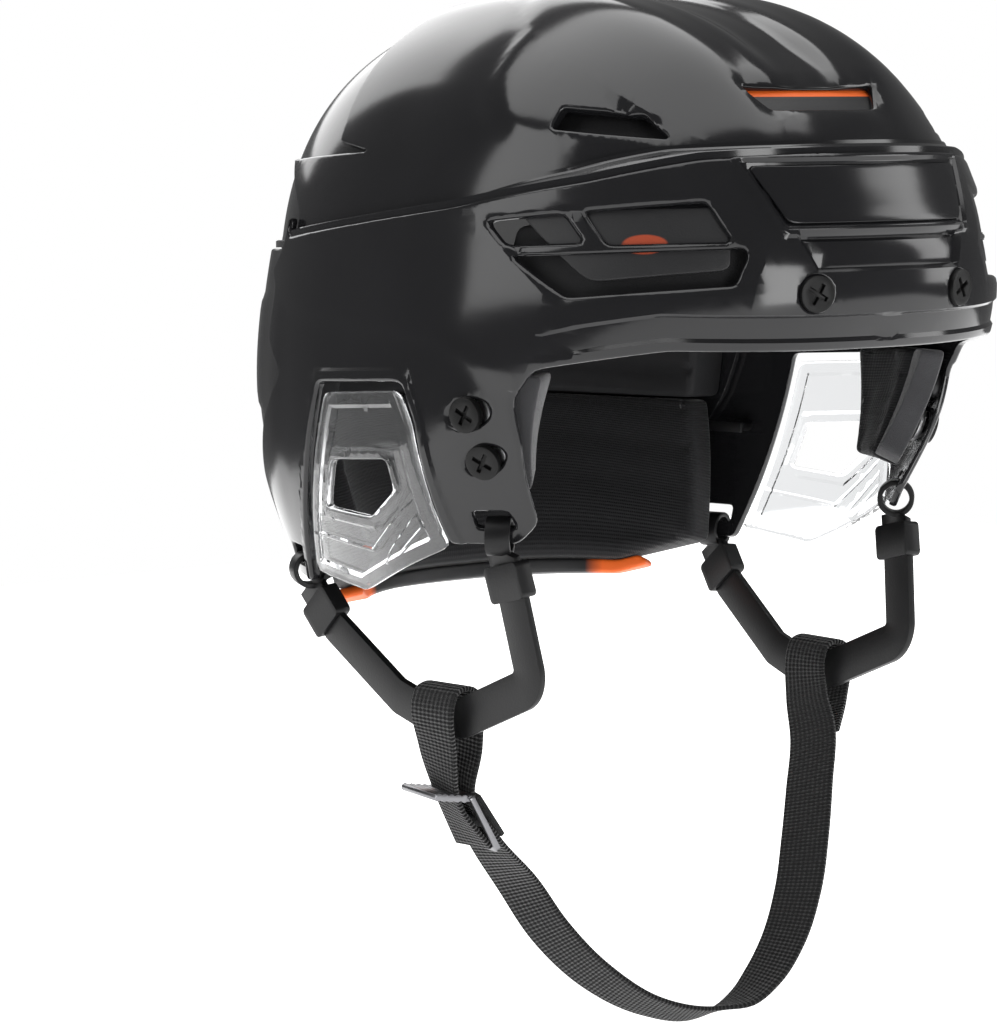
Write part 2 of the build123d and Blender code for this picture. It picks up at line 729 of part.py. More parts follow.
# Slide buckle: a frame with two windows between the layers, and a ribbed tab bent outward
top_place, top_width, top_normal, top_ahead = webbing_station(2)
low_place, low_width, low_normal, low_ahead = webbing_station(3)
buckle_ahead = (low_place - top_place).normalized()
buckle_across = top_width + low_width
buckle_across = (buckle_across - buckle_ahead * buckle_across.dot(buckle_ahead)).normalized()
buckle_out = buckle_ahead.cross(buckle_across).normalized()
buckle_middle = (top_place + low_place) * 0.5
window = (buckle_length - 3 * buckle_rail) / 2
frame_plane = Plane(origin=buckle_middle, x_dir=buckle_ahead, z_dir=buckle_out)
tab_plane = Plane(
    origin=buckle_middle - buckle_ahead * (buckle_length / 2 - buckle_wall),
    x_dir=buckle_ahead * -1, z_dir=buckle_across,
)
lean = radians(buckle_tab_turn)
out_sign = 1 if tab_plane.y_dir.dot(buckle_out) > 0 else -1
with BuildPart() as slide_buckle:
    with BuildSketch(frame_plane.offset(-buckle_wall / 2)):
        RectangleRounded(buckle_length, buckle_width, buckle_rail / 2)
        with GridLocations(window + buckle_rail, 0, 2, 1):
            Rectangle(window, buckle_width - 2 * buckle_rail, mode=Mode.SUBTRACT)
    extrude(amount=buckle_wall)
    with BuildSketch(tab_plane):
        with BuildLine():
            Line((0, 0), (buckle_tab * cos(lean), out_sign * buckle_tab * sin(lean)))
        trace(line_width=buckle_wall)
        for rib in range(tab_ribs):
            way = buckle_tab - rib * 2 * tab_rib
            with Locations((way * cos(lean), out_sign * way * sin(lean))):
                Circle(tab_rib)
    extrude(amount=buckle_width / 2 - tab_rib, both=True)
slide_buckle.part.label = "slide_buckle"
export_step(slide_buckle.part, "parts/slide_buckle.step")
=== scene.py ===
import json
import math

import bmesh
import bpy
import numpy as np
from mathutils import Matrix, Vector

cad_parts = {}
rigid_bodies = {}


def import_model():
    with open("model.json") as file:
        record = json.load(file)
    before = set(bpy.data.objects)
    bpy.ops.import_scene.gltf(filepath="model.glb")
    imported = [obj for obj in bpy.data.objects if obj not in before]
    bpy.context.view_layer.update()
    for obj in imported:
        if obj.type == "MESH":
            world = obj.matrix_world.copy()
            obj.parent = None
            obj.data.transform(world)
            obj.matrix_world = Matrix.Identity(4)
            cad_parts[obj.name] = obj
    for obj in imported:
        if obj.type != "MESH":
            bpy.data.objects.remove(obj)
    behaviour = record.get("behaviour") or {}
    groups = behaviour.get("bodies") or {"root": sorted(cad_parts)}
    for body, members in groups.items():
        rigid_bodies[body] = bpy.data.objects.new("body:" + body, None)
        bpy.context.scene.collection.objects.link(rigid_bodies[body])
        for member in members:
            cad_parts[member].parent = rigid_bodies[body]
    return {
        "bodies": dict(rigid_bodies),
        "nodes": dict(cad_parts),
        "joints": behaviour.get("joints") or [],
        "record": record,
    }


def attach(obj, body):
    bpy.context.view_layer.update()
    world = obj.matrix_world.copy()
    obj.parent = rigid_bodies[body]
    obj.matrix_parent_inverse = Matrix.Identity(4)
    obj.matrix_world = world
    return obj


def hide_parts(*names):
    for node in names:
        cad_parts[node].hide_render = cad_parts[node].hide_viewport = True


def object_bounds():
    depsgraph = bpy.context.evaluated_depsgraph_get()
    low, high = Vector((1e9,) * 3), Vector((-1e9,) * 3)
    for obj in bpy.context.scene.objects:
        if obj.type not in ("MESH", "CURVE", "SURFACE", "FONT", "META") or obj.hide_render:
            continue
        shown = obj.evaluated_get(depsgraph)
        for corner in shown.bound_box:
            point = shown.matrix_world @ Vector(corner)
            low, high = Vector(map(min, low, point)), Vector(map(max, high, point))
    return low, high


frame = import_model()
cadBox = [list(corner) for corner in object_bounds()]
print("frame loaded")

mm = 0.001
power = 2.35  # squareness of the shell's horizontal sections
ringPoints = 16
drawing = {"dense": 0.25, "soft": 1.0, "middle": 0.02, "crease": 0.4, "creaseRun": 9,
           "crownBlend": 4, "normalStep": 0.5}

formRows = {  # height, half width, front and rear half length, in millimetres
    "band": [(-106, 96, 50, 108), (-62, 104, 74, 127), (-25, 107.5, 109.6, 144),
             (5, 105.8, 135.5, 145), (42, 101.2, 136.8, 137), (80, 90, 124, 124)],
    "dome": [(12, 99.5, 128, 140), (45, 97.5, 125.5, 134.5), (72, 89, 114, 124.5),
             (92, 75, 94.5, 109), (106, 57, 69, 85), (114, 36, 41.5, 53), (118, 0, 0, 0)],
}
shoulderLine = [(-150, 67), (-111, 63.5), (-87, 57), (-38, 48), (60, 36), (150, 32)]


def curveXY(half, front, rear, turns):
    side, ahead = np.sin(turns), np.cos(turns)
    x = half * np.sign(side) * np.abs(side) ** (2 / power)
    y = -np.where(ahead > 0, front, rear) * np.sign(ahead) * np.abs(ahead) ** (2 / power)
    return x, y


def makeForm(name):
    rows = np.array(formRows[name], float)
    turns = 2 * np.pi * np.arange(ringPoints) / ringPoints
    rings = [np.stack([*curveXY(h, f, r, turns), np.full(ringPoints, z)], 1)
             for z, h, f, r in rows]
    steps = [np.linalg.norm(b - a, axis=1).mean() for a, b in zip(rings, rings[1:])]
    place = np.concatenate([[0], np.cumsum(steps)])
    length = place[-1]
    fits = [np.polyfit(place / length, rows[:, i], len(rows) - 1) for i in range(4)]
    fine = np.linspace(0, np.pi, 6001)
    x, y = curveXY(*rows[1][1:], fine)
    arc = np.concatenate([[0], np.cumsum(np.hypot(np.diff(x), np.diff(y)))])
    vTable = np.linspace(0, length, 3001)
    sizes = [np.polyval(fit, vTable / length) for fit in fits]
    return {"length": length, "fits": fits, "turn": fine, "arc": arc, "round": arc[-1],
            "vTable": vTable, "zTable": sizes[0], "frontTable": sizes[2],
            "rearTable": sizes[3], "polar": name == "dome"}


forms = {name: makeForm(name) for name in formRows}


def ringSize(form, v):
    return [np.polyval(fit, v / form["length"]) for fit in form["fits"]]


def surfacePoint(form, u, v):
    u = (u + form["round"]) % (2 * form["round"]) - form["round"]
    turn = np.interp(np.abs(u), form["arc"], form["turn"])
    z, half, front, rear = ringSize(form, v)
    x, y = curveXY(half, front, rear, turn)
    return np.stack([np.where(u < 0, -x, x), y, z], -1)


def surfaceNormal(form, u, v):
    step = drawing["normalStep"]
    high = np.minimum(v + step, form["length"] - 1e-3)
    across = surfacePoint(form, u + step, v) - surfacePoint(form, u - step, v)
    upward = surfacePoint(form, u, high) - surfacePoint(form, u, high - 2 * step)
    normal = np.cross(across, upward)
    size = np.linalg.norm(normal, axis=-1, keepdims=True)
    normal = np.where(size > 1e-6, normal / np.maximum(size, 1e-9), [0.0, 0.0, 1.0])
    if form["polar"]:  # the meridians meet at the crown
        near = np.clip((form["length"] - v) / drawing["crownBlend"], 0, 1)[..., None]
        normal = normal * near + np.array([0, 0, 1.0]) * (1 - near)
        normal /= np.linalg.norm(normal, axis=-1, keepdims=True)
    return normal


def toFlat(form, u, v, rear):
    if form["polar"]:
        angle = u / form["round"] * np.pi
        reach = form["length"] - v
        return np.stack([reach * np.sin(angle), -reach * np.cos(angle)], -1)
    return np.stack([u - form["round"] if rear else u, v], -1)


def fromFlat(form, flat, rear):
    if form["polar"]:
        reach = np.hypot(flat[:, 0], flat[:, 1])
        angle = np.arctan2(flat[:, 0], -flat[:, 1])
        return angle / np.pi * form["round"], form["length"] - reach
    return (flat[:, 0] + form["round"] if rear else flat[:, 0]), flat[:, 1]


def alongLine(points, spacing, closed):
    line = np.array(list(points) + ([points[0]] if closed else []), float)
    run = np.concatenate([[0], np.cumsum(np.linalg.norm(np.diff(line, axis=0), axis=1))])
    count = max(3, int(round(run[-1] / spacing)))
    at = np.linspace(0, run[-1], count + 1)
    found = np.stack([np.interp(at, run, line[:, 0]), np.interp(at, run, line[:, 1])], 1)
    return found[:-1] if closed else found


def onForm(form, points, rear=False, seen="side"):  # places drawn in side or front view
    points = np.array(points, float)
    z = points[:, 1]
    over = np.zeros(len(points), bool)
    if seen == "side":
        y = points[:, 0]
        if form["polar"]:  # nothing lies higher than the middle profile
            for table, some in ((form["frontTable"], y < 0), (form["rearTable"], y >= 0)):
                cap = np.interp(np.abs(y), table[::-1], form["zTable"][::-1])
                over |= some & (z > cap - 0.05)
                z = np.where(some, np.minimum(z, cap), z)
        v = np.interp(z, form["zTable"], form["vTable"])
        _, _, front, back = ringSize(form, v)
        share = np.clip(-y / np.maximum(np.where(y < 0, front, back), 1e-6), -1, 1)
        turn = np.arccos(np.clip(np.sign(share) * np.abs(share) ** (power / 2), -1, 1))
        turn = np.where(over, np.where(y < 0, 0, np.pi), turn)
    else:
        v = np.interp(z, form["zTable"], form["vTable"])
        half = ringSize(form, v)[1]
        share = np.clip(points[:, 0] / half, 0, 1)
        turn = np.arcsin(share ** (power / 2))
    u = np.interp(turn, form["turn"], form["arc"])
    return toFlat(form, u, v, rear)


def flatLoop(form, points, rear=False, seen="side", spacing=1.4, soften=3):
    dense = alongLine(points, drawing["dense"], True)
    flat = onForm(form, dense, rear, seen)
    middle = np.abs(flat[:, 0]) < drawing["middle"]
    if middle.any():  # joined with its mirror image
        start = int(np.argmax(~middle & np.roll(middle, 1)))
        flat, middle = np.roll(flat, -start, axis=0), np.roll(middle, -start)
        half = flat[~middle]
        flat = np.concatenate([half, half[::-1] * [-1, 1]])
    flat = alongLine(flat, drawing["soft"], True)
    for _ in range(soften * 2):
        flat = 0.5 * flat + 0.25 * np.roll(flat, 1, axis=0) + 0.25 * np.roll(flat, -1, axis=0)
    return alongLine(flat, spacing, True)


def mirrored(loop):
    return loop[::-1] * [-1, 1]


def slicePanel(panel, cell):
    low = np.min([v.co[:2] for v in panel.verts], axis=0)
    high = np.max([v.co[:2] for v in panel.verts], axis=0)
    for axis in (0, 1):
        first = math.floor(low[axis] / cell) * cell + cell * 0.5
        for place in np.arange(first, high[axis], cell):
            spot, way = Vector((0, 0, 0)), Vector((0, 0, 0))
            spot[axis], way[axis] = place, 1
            geom = panel.verts[:] + panel.edges[:] + panel.faces[:]
            bmesh.ops.bisect_plane(panel, geom=geom, dist=0.02, plane_co=spot, plane_no=way)


def cutAlong(panel, line, past=3, reach=6):  # so that a crease there is sharp
    for a, b in zip(line, line[1:]):
        a, b = np.array(a), np.array(b)
        run = (b - a) / np.linalg.norm(b - a)
        side = np.array([-run[1], run[0]])
        near = []
        for face in panel.faces:
            centre = np.array(face.calc_center_median()[:2]) - a
            along = -past < centre @ run < np.linalg.norm(b - a) + past
            if along and abs(centre @ side) < reach:
                near.append(face)
        geom = list({v for f in near for v in f.verts}) + list({e for f in near for e in f.edges})
        bmesh.ops.bisect_plane(panel, geom=geom + near, dist=0.05,
                               plane_co=(a[0], a[1], 0), plane_no=(side[0], side[1], 0))


def besideLine(points, offset):  # positive lies on the left of the line's way
    line = np.array(points, float)
    run = np.diff(line, axis=0)
    run /= np.linalg.norm(run, axis=1, keepdims=True)
    side = np.stack([-run[:, 1], run[:, 0]], 1)
    closed = np.allclose(line[0], line[-1])
    before = np.vstack([side[-1] if closed else side[0], side])
    after = np.vstack([side, side[0] if closed else side[-1]])
    return line + offset * (before + after) / (1 + np.sum(before * after, axis=1, keepdims=True))


def creaseOn(form, points, offsets=(0,), seen="side", sides=(1, -1)):
    found = []
    for offset in offsets:
        drawnLine = besideLine(points, offset)
        for a, b in zip(drawnLine, drawnLine[1:]):
            dense = alongLine([a, b], drawing["crease"], False)
            flat = alongLine(onForm(forms[form], dense, seen=seen), drawing["creaseRun"], False)
            found += [flat * [side, 1] for side in sides]
    return found


def finishMesh(name, mesh, paint, body, node, sharp=72, even=False):
    mesh.set_sharp_from_angle(angle=math.radians(sharp))
    obj = bpy.data.objects.new(name, mesh)
    bpy.context.scene.collection.objects.link(obj)
    obj.data.materials.append(materials[paint])
    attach(obj, body)
    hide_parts(node)
    if even:
        level = obj.modifiers.new("evenShading", "WEIGHTED_NORMAL")
        level.keep_sharp = True
        level.weight = 80
    return obj


def roundProfile(rim, radius):
    inward = np.clip(1 - rim / max(radius, 1e-6), 0, 1)
    return radius * (1 - np.sqrt(1 - inward ** 2))


def curvedPanel(loops, form, depth, wall, rear=False, edge=0.8, innerEdge=0.3, cell=3.5,
                relief=None, innerRelief=None, creases=(), rings=4):
    form = forms[form]  # the sheet is drawn flat, thickened and bent onto it
    panel = bmesh.new()
    outline = []
    for loop in loops:
        corners = [panel.verts.new((x, y, 0)) for x, y in loop]
        outline += [panel.edges.new(pair) for pair in zip(corners, corners[1:] + corners[:1])]
    bmesh.ops.triangle_fill(panel, use_beauty=True, use_dissolve=True, edges=outline,
                            normal=(0, 0, 1))
    rimLayer = panel.verts.layers.float.new("rim")
    field = panel.faces[:]
    widest = max(edge, innerEdge)
    reached = 0
    for ring in range(1, rings + 1):
        distance = widest * (1 - math.cos(math.pi / 2 * ring / rings))
        bmesh.ops.inset_region(panel, faces=field, use_boundary=True, use_even_offset=False,
                               thickness=distance - reached)
        reached = distance
        for face in field:
            for vert in face.verts:
                vert[rimLayer] = distance
    slicePanel(panel, cell)
    for line in creases:
        cutAlong(panel, line)
    under = panel.verts.layers.int.new("under")
    made = bmesh.ops.extrude_face_region(panel, geom=panel.faces[:], use_keep_orig=True)
    for item in made["geom"]:
        if isinstance(item, bmesh.types.BMVert):
            item[under] = 1
    flat = np.array([v.co[:2] for v in panel.verts], float)
    rim = np.array([v[rimLayer] for v in panel.verts])
    isUnder = np.array([v[under] for v in panel.verts]) == 1
    u, v = fromFlat(form, flat, rear)
    point, normal = surfacePoint(form, u, v), surfaceNormal(form, u, v)
    top = depth + roundProfile(rim, edge) + (relief(point) if relief else 0)
    low = depth + wall - roundProfile(rim, innerEdge)
    if innerRelief:
        low = low + innerRelief(point, rim)
    sunk = np.where(isUnder, low, top)
    point = (point - normal * sunk[:, None]) * mm
    uv = panel.loops.layers.uv.new("sheet")
    for vert, place, spot in zip(panel.verts, point, flat):
        vert.co = place
        for loop in vert.link_loops:
            loop[uv].uv = spot * mm
    bmesh.ops.triangulate(panel, faces=[f for f in panel.faces if len(f.verts) > 4])
    bmesh.ops.recalc_face_normals(panel, faces=panel.faces[:])
    for face in panel.faces:
        face.smooth = True
    mesh = bpy.data.meshes.new("panel")
    panel.to_mesh(mesh)
    panel.free()
    return mesh


def ramp(low, high, x):
    return np.clip((x - low) / (high - low), 0, 1)


def smoothStep(low, high, x):
    t = ramp(low, high, x)
    return t * t * (3 - 2 * t)


def lineDistance(points, line):  # positive on the left of the line's way
    best = np.full(len(points), 1e9)
    signed = np.zeros(len(points))
    for a, b in zip(line, line[1:]):
        a, b = np.array(a, float), np.array(b, float)
        run = b - a
        share = np.clip((points - a) @ run / (run @ run), 0, 1)
        gap = points - a - share[:, None] * run
        size = np.linalg.norm(gap, axis=1)
        sign = np.sign(run[0] * (points[:, 1] - a[1]) - run[1] * (points[:, 0] - a[0]))
        closer = size < best
        best = np.where(closer, size, best)
        signed = np.where(closer, sign * size, signed)
    return signed


def insideShape(points, shape):
    inside = np.zeros(len(points), bool)
    for (x0, y0), (x1, y1) in zip(shape, shape[1:] + shape[:1]):
        crosses = (y0 > points[:, 1]) != (y1 > points[:, 1])
        at = x0 + (points[:, 1] - y0) * (x1 - x0) / (y1 - y0 if y1 != y0 else 1e-9)
        inside ^= crosses & (points[:, 0] < at)
    return inside


def shapeDepth(points, shape):  # inward from the edge, and zero outside
    gap = np.abs(lineDistance(points, shape + shape[:1]))
    return np.where(insideShape(points, shape), gap, 0)


def bothSides(half):  # whole shape of an outline drawn from the middle and back to it
    return [(-half[1][0], half[1][1]), half[1], half[2], (-half[2][0], half[2][1])]


# Materials


def addNode(tree, kind, values=None, **settings):  # values by the name of the socket
    node = tree.nodes.new("ShaderNode" + kind)
    for name, setting in settings.items():
        setattr(node, name, setting)
    for name, value in (values or {}).items():
        node.inputs[name].default_value = value
    return node


def nodeGroup(name, outputs, inputs):
    group = bpy.data.node_groups.new(name, "ShaderNodeTree")
    for label, kind, value in inputs:
        socket = group.interface.new_socket(label, in_out="INPUT", socket_type=kind)
        if value is not None:
            socket.default_value = value
    for label, kind in outputs:
        group.interface.new_socket(label, in_out="OUTPUT", socket_type=kind)
    return group, group.nodes.new("NodeGroupInput"), group.nodes.new("NodeGroupOutput")


def grainGroup():  # fine grain as a height, and a blotchy mask
    group, ins, outs = nodeGroup(
        "fineGrain", [("Height", "NodeSocketFloat"), ("Mask", "NodeSocketFloat")],
        [("Scale", "NodeSocketFloat", 900.0), ("Blotch Scale", "NodeSocketFloat", 25.0),
         ("Vector", "NodeSocketVector", None)])
    link = group.links.new
    for detail, scale, result in ((3, "Scale", "Height"), (4, "Blotch Scale", "Mask")):
        noise = addNode(group, "TexNoise", {"Detail": detail})
        link(ins.outputs["Vector"], noise.inputs["Vector"])
        link(ins.outputs[scale], noise.inputs["Scale"])
        link(noise.outputs["Fac"], outs.inputs[result])
    return group


def weaveGroup():  # a height that follows both ways of the cloth
    group, ins, outs = nodeGroup(
        "wovenRows", [("Height", "NodeSocketFloat")],
        [("Rows", "NodeSocketFloat", 800.0), ("Cross", "NodeSocketFloat", 500.0),
         ("Vector", "NodeSocketVector", None)])
    link = group.links.new
    split = addNode(group, "SeparateXYZ")
    link(ins.outputs["Vector"], split.inputs["Vector"])
    waves = []
    for axis, label in (("X", "Cross"), ("Y", "Rows")):
        times = addNode(group, "Math", operation="MULTIPLY")
        link(split.outputs[axis], times.inputs[0])
        link(ins.outputs[label], times.inputs[1])
        sine = addNode(group, "Math", operation="SINE")
        link(times.outputs[0], sine.inputs[0])
        waves.append(sine)
    both = addNode(group, "Math", {1: 0.35}, operation="MULTIPLY_ADD")
    link(waves[0].outputs[0], both.inputs[0])
    link(waves[1].outputs[0], both.inputs[2])
    link(both.outputs[0], outs.inputs["Height"])
    return group


groups = {"grain": grainGroup(), "weave": weaveGroup()}


def makeMaterial(name, colour, roughness, grain=900, bump=0.05, spread=0.08, tint=0.25, metallic=0,
                 coat=0, sheen=0, weave=None, specular=0.5, transmission=0, ior=1.45,
                 bumpScale=0.0002, patch=None):
    made = bpy.data.materials.new(name)
    made.use_nodes = True
    tree, link = made.node_tree, made.node_tree.links.new
    shader = tree.nodes["Principled BSDF"]
    looks = {"Metallic": metallic, "IOR": ior, "Specular IOR Level": specular,
             "Transmission Weight": transmission, "Coat Weight": coat, "Coat Roughness": 0.06}
    if sheen:
        looks.update({"Sheen Weight": sheen, "Sheen Roughness": 0.4})
    for socket, value in looks.items():
        shader.inputs[socket].default_value = value
    where = addNode(tree, "TexCoord")
    fine = addNode(tree, "Group", {"Scale": grain}, node_tree=groups["grain"])
    link(where.outputs["Object"], fine.inputs["Vector"])
    darker = (*[c * (1 - tint) for c in colour], 1)
    lighter = (*[min(1, c * (1 + tint)) for c in colour], 1)
    shade = addNode(tree, "Mix", {"A": darker, "B": lighter}, data_type="RGBA")
    link(fine.outputs["Mask"], shade.inputs["Factor"])
    colourOut = shade.outputs["Result"]
    if patch:  # another colour inside a box of the piece
        colour2, centre, reach, weights = patch
        middle = [c * w for c, w in zip(centre, weights)]
        flip = addNode(tree, "VectorMath", operation="ABSOLUTE")
        squeeze = addNode(tree, "VectorMath", {1: weights}, operation="MULTIPLY")
        away = addNode(tree, "VectorMath", {1: middle}, operation="DISTANCE")
        link(where.outputs["Object"], flip.inputs[0])
        link(flip.outputs[0], squeeze.inputs[0])
        link(squeeze.outputs[0], away.inputs[0])
        border = addNode(tree, "MapRange", {"From Min": reach * 0.92, "From Max": reach})
        link(away.outputs["Value"], border.inputs["Value"])
        second = addNode(tree, "Mix", {"A": (*colour2, 1)}, data_type="RGBA")
        link(colourOut, second.inputs["B"])
        link(border.outputs["Result"], second.inputs["Factor"])
        colourOut = second.outputs["Result"]
    link(colourOut, shader.inputs["Base Color"])
    rough = addNode(tree, "MapRange", {"To Min": max(0.01, roughness - spread / 2),
                                       "To Max": roughness + spread / 2})
    link(fine.outputs["Mask"], rough.inputs["Value"])
    link(rough.outputs["Result"], shader.inputs["Roughness"])
    relief = addNode(tree, "Bump", {"Strength": bump, "Distance": bumpScale})
    if weave:
        cloth = addNode(tree, "Group", dict(zip(("Rows", "Cross"), weave)),
                        node_tree=groups["weave"])
        link(where.outputs["UV"], cloth.inputs["Vector"])
        both = addNode(tree, "Math", operation="ADD")
        link(cloth.outputs["Height"], both.inputs[0])
        link(fine.outputs["Height"], both.inputs[1])
        link(both.outputs[0], relief.inputs["Height"])
    else:
        link(fine.outputs["Height"], relief.inputs["Height"])
    link(relief.outputs["Normal"], shader.inputs["Normal"])
    return made


orange = (0.80, 0.13, 0.015)
black = (0.010, 0.010, 0.011)
materials = {
    "shell": makeMaterial("glossBlackShell", black, 0.13, grain=260, bump=0.02, spread=0.05,
                          bumpScale=0.0004),
    "plate": makeMaterial("glossBlackPlate", (0.009, 0.009, 0.01), 0.16, grain=300, bump=0.03),
    "sideInsert": makeMaterial("blackInsert", (0.012, 0.012, 0.013), 0.5, grain=1400, bump=0.25,
                               patch=((0.30, 0.045, 0.015), (0.078, 0.106, 0.0375), 0.0066,
                                      (0.5, 0.8, 1.7))),
    "napeTrim": makeMaterial("orangeEdge", orange, 0.5, grain=1400, bump=0.25,
                             patch=(black, (0, 0.135, 0.09), 0.080, (1, 1, 0))),
    "ventInsert": makeMaterial("ventBar", black, 0.5, grain=1400, bump=0.25,
                               patch=(orange, (0, 0, 0.084), 0.0019, (0, 0, 1))),
    "liner": makeMaterial("blackFoam", (0.016, 0.016, 0.017), 0.75, grain=1800, bump=0.6,
                          specular=0.25),
    "pad": makeMaterial("padCloth", (0.014, 0.014, 0.015), 0.85, grain=2500, bump=0.5, sheen=0.2,
                        weave=(5200, 5200), specular=0.2),
    "felt": makeMaterial("greyFelt", (0.045, 0.045, 0.048), 0.95, grain=3200, bump=1.0, tint=0.7,
                         sheen=0.5, specular=0.1, bumpScale=0.0005),
    "guard": makeMaterial("clearGuard", (0.93, 0.94, 0.95), 0.04, grain=200, bump=0.01, tint=0.01,
                          spread=0.02, transmission=1, ior=1.18, coat=1),
    "screw": makeMaterial("blackScrew", (0.004, 0.004, 0.004), 0.42, grain=2400, bump=0.2,
                          specular=0.25),
    "nut": makeMaterial("zincNut", (0.5, 0.5, 0.51), 0.35, grain=3000, bump=0.2, metallic=1),
    "dial": makeMaterial("dialNylon", (0.014, 0.014, 0.015), 0.5, grain=1500, bump=0.4),
    "strap": makeMaterial("strapPlastic", (0.006, 0.006, 0.0065), 0.42, grain=1300, bump=0.25,
                          specular=0.3),
    "webbing": makeMaterial("blackWebbing", (0.012, 0.012, 0.0125), 0.8, grain=2600, bump=0.9,
                            sheen=0.25, weave=(4600, 3300), specular=0.25, bumpScale=0.0004),
    "buckle": makeMaterial("nickelBuckle", (0.20, 0.20, 0.21), 0.28, grain=2200, bump=0.15,
                           metallic=1),
}
print("materials made")

# Camera, floor and lights

view = {"azimuth": -36.42, "elevation": 6.68, "roll": -0.32, "distance": 1191.2,
        "focal": 3463.18, "shiftRight": -40.43, "shiftUp": -59.55, "sensor": 36, "height": 1024}
stage = {"floorSize": 1.1, "floorDrop": 0.002, "floorGlow": 0.9, "skyLight": 0.16, "sky": 1.0}
lamps = {  # place, point that it faces, size and power
    "topSoftbox": ((0.0, 0.1, 1.5), (0, 0, 0), (2.2, 2.0), 34),
    "keyPanel": ((-1.6, 0.5, 0.7), (0, 0, 0), (0.8, 1.2), 9),
    "frontStrip": ((-0.12, -1.7, 0.0), (0, -0.1, 0.02), (0.5, 0.9), 11),
    "rightPanel": ((1.4, -0.9, 0.5), (0, 0, 0), (0.5, 1.2), 8),
    "backPanel": ((0.4, 1.6, 0.8), (0, 0, 0), (1.4, 1.0), 10),
}


def addCamera():
    a, e, r = (math.radians(view[k]) for k in ("azimuth", "elevation", "roll"))
    back = Vector((math.sin(a) * math.cos(e), -math.cos(a) * math.cos(e), math.sin(e)))
    right = Vector((0, 0, 1)).cross(back).normalized()
    up = back.cross(right)
    right, up = right * math.cos(r) + up * math.sin(r), up * math.cos(r) - right * math.sin(r)
    camera = bpy.data.cameras.new("camera")
    camera.sensor_width = view["sensor"]
    camera.lens = view["focal"] * view["sensor"] / view["height"]
    camera.clip_end = 50
    obj = bpy.data.objects.new("camera", camera)
    place = back * view["distance"] + right * view["shiftRight"] + up * view["shiftUp"]
    turn = Matrix((right, up, back)).transposed().to_4x4()
    obj.matrix_world = Matrix.Translation(place * mm) @ turn
    bpy.context.scene.collection.objects.link(obj)
    bpy.context.scene.camera = obj


def addLamp(name, place, target, size, power):
    lamp = bpy.data.lights.new(name, "AREA")
    lamp.shape = "RECTANGLE"
    lamp.size, lamp.size_y = size
    lamp.energy = power
    obj = bpy.data.objects.new(name, lamp)
    way = Vector(place) - Vector(target)
    obj.matrix_world = Matrix.Translation(place) @ way.to_track_quat("Z", "Y").to_matrix().to_4x4()
    bpy.context.scene.collection.objects.link(obj)


def addStage():
    floor = bmesh.new()
    bmesh.ops.create_grid(floor, x_segments=2, y_segments=2, size=stage["floorSize"])
    height = cadBox[0][2] - stage["floorDrop"]
    bmesh.ops.translate(floor, vec=(0, 0, height), verts=floor.verts[:])
    mesh = bpy.data.meshes.new("floor")
    floor.to_mesh(mesh)
    obj = bpy.data.objects.new("floor", mesh)
    bpy.context.scene.collection.objects.link(obj)
    paint = bpy.data.materials.new("paleFloor")
    paint.use_nodes = True
    sockets = paint.node_tree.nodes["Principled BSDF"].inputs
    sockets["Base Color"].default_value = (0.9, 0.9, 0.9, 1)
    sockets["Roughness"].default_value = 0.9
    sockets["Emission Color"].default_value = (1, 1, 1, 1)
    sockets["Emission Strength"].default_value = stage["floorGlow"]
    mesh.materials.append(paint)
    world = bpy.data.worlds.new("studio")
    bpy.context.scene.world = world
    world.use_nodes = True
    tree, link = world.node_tree, world.node_tree.links.new
    sky = tree.nodes["Background"]
    sky.inputs["Color"].default_value = (1, 1, 1, 1)
    path = addNode(tree, "LightPath")
    either = addNode(tree, "Math", operation="MAXIMUM")
    # white for the camera, dimmer as a light
    bright = addNode(tree, "MapRange", {"To Min": stage["skyLight"], "To Max": stage["sky"]})
    link(path.outputs["Is Camera Ray"], either.inputs[0])
    link(path.outputs["Is Transmission Ray"], either.inputs[1])
    link(either.outputs[0], bright.inputs["Value"])
    link(bright.outputs["Result"], sky.inputs["Strength"])
    bpy.context.scene.view_settings.view_transform = "Standard"


addCamera()
addStage()
for name, values in lamps.items():
    addLamp(name, *values)
print("camera and lights placed")

# Front shell

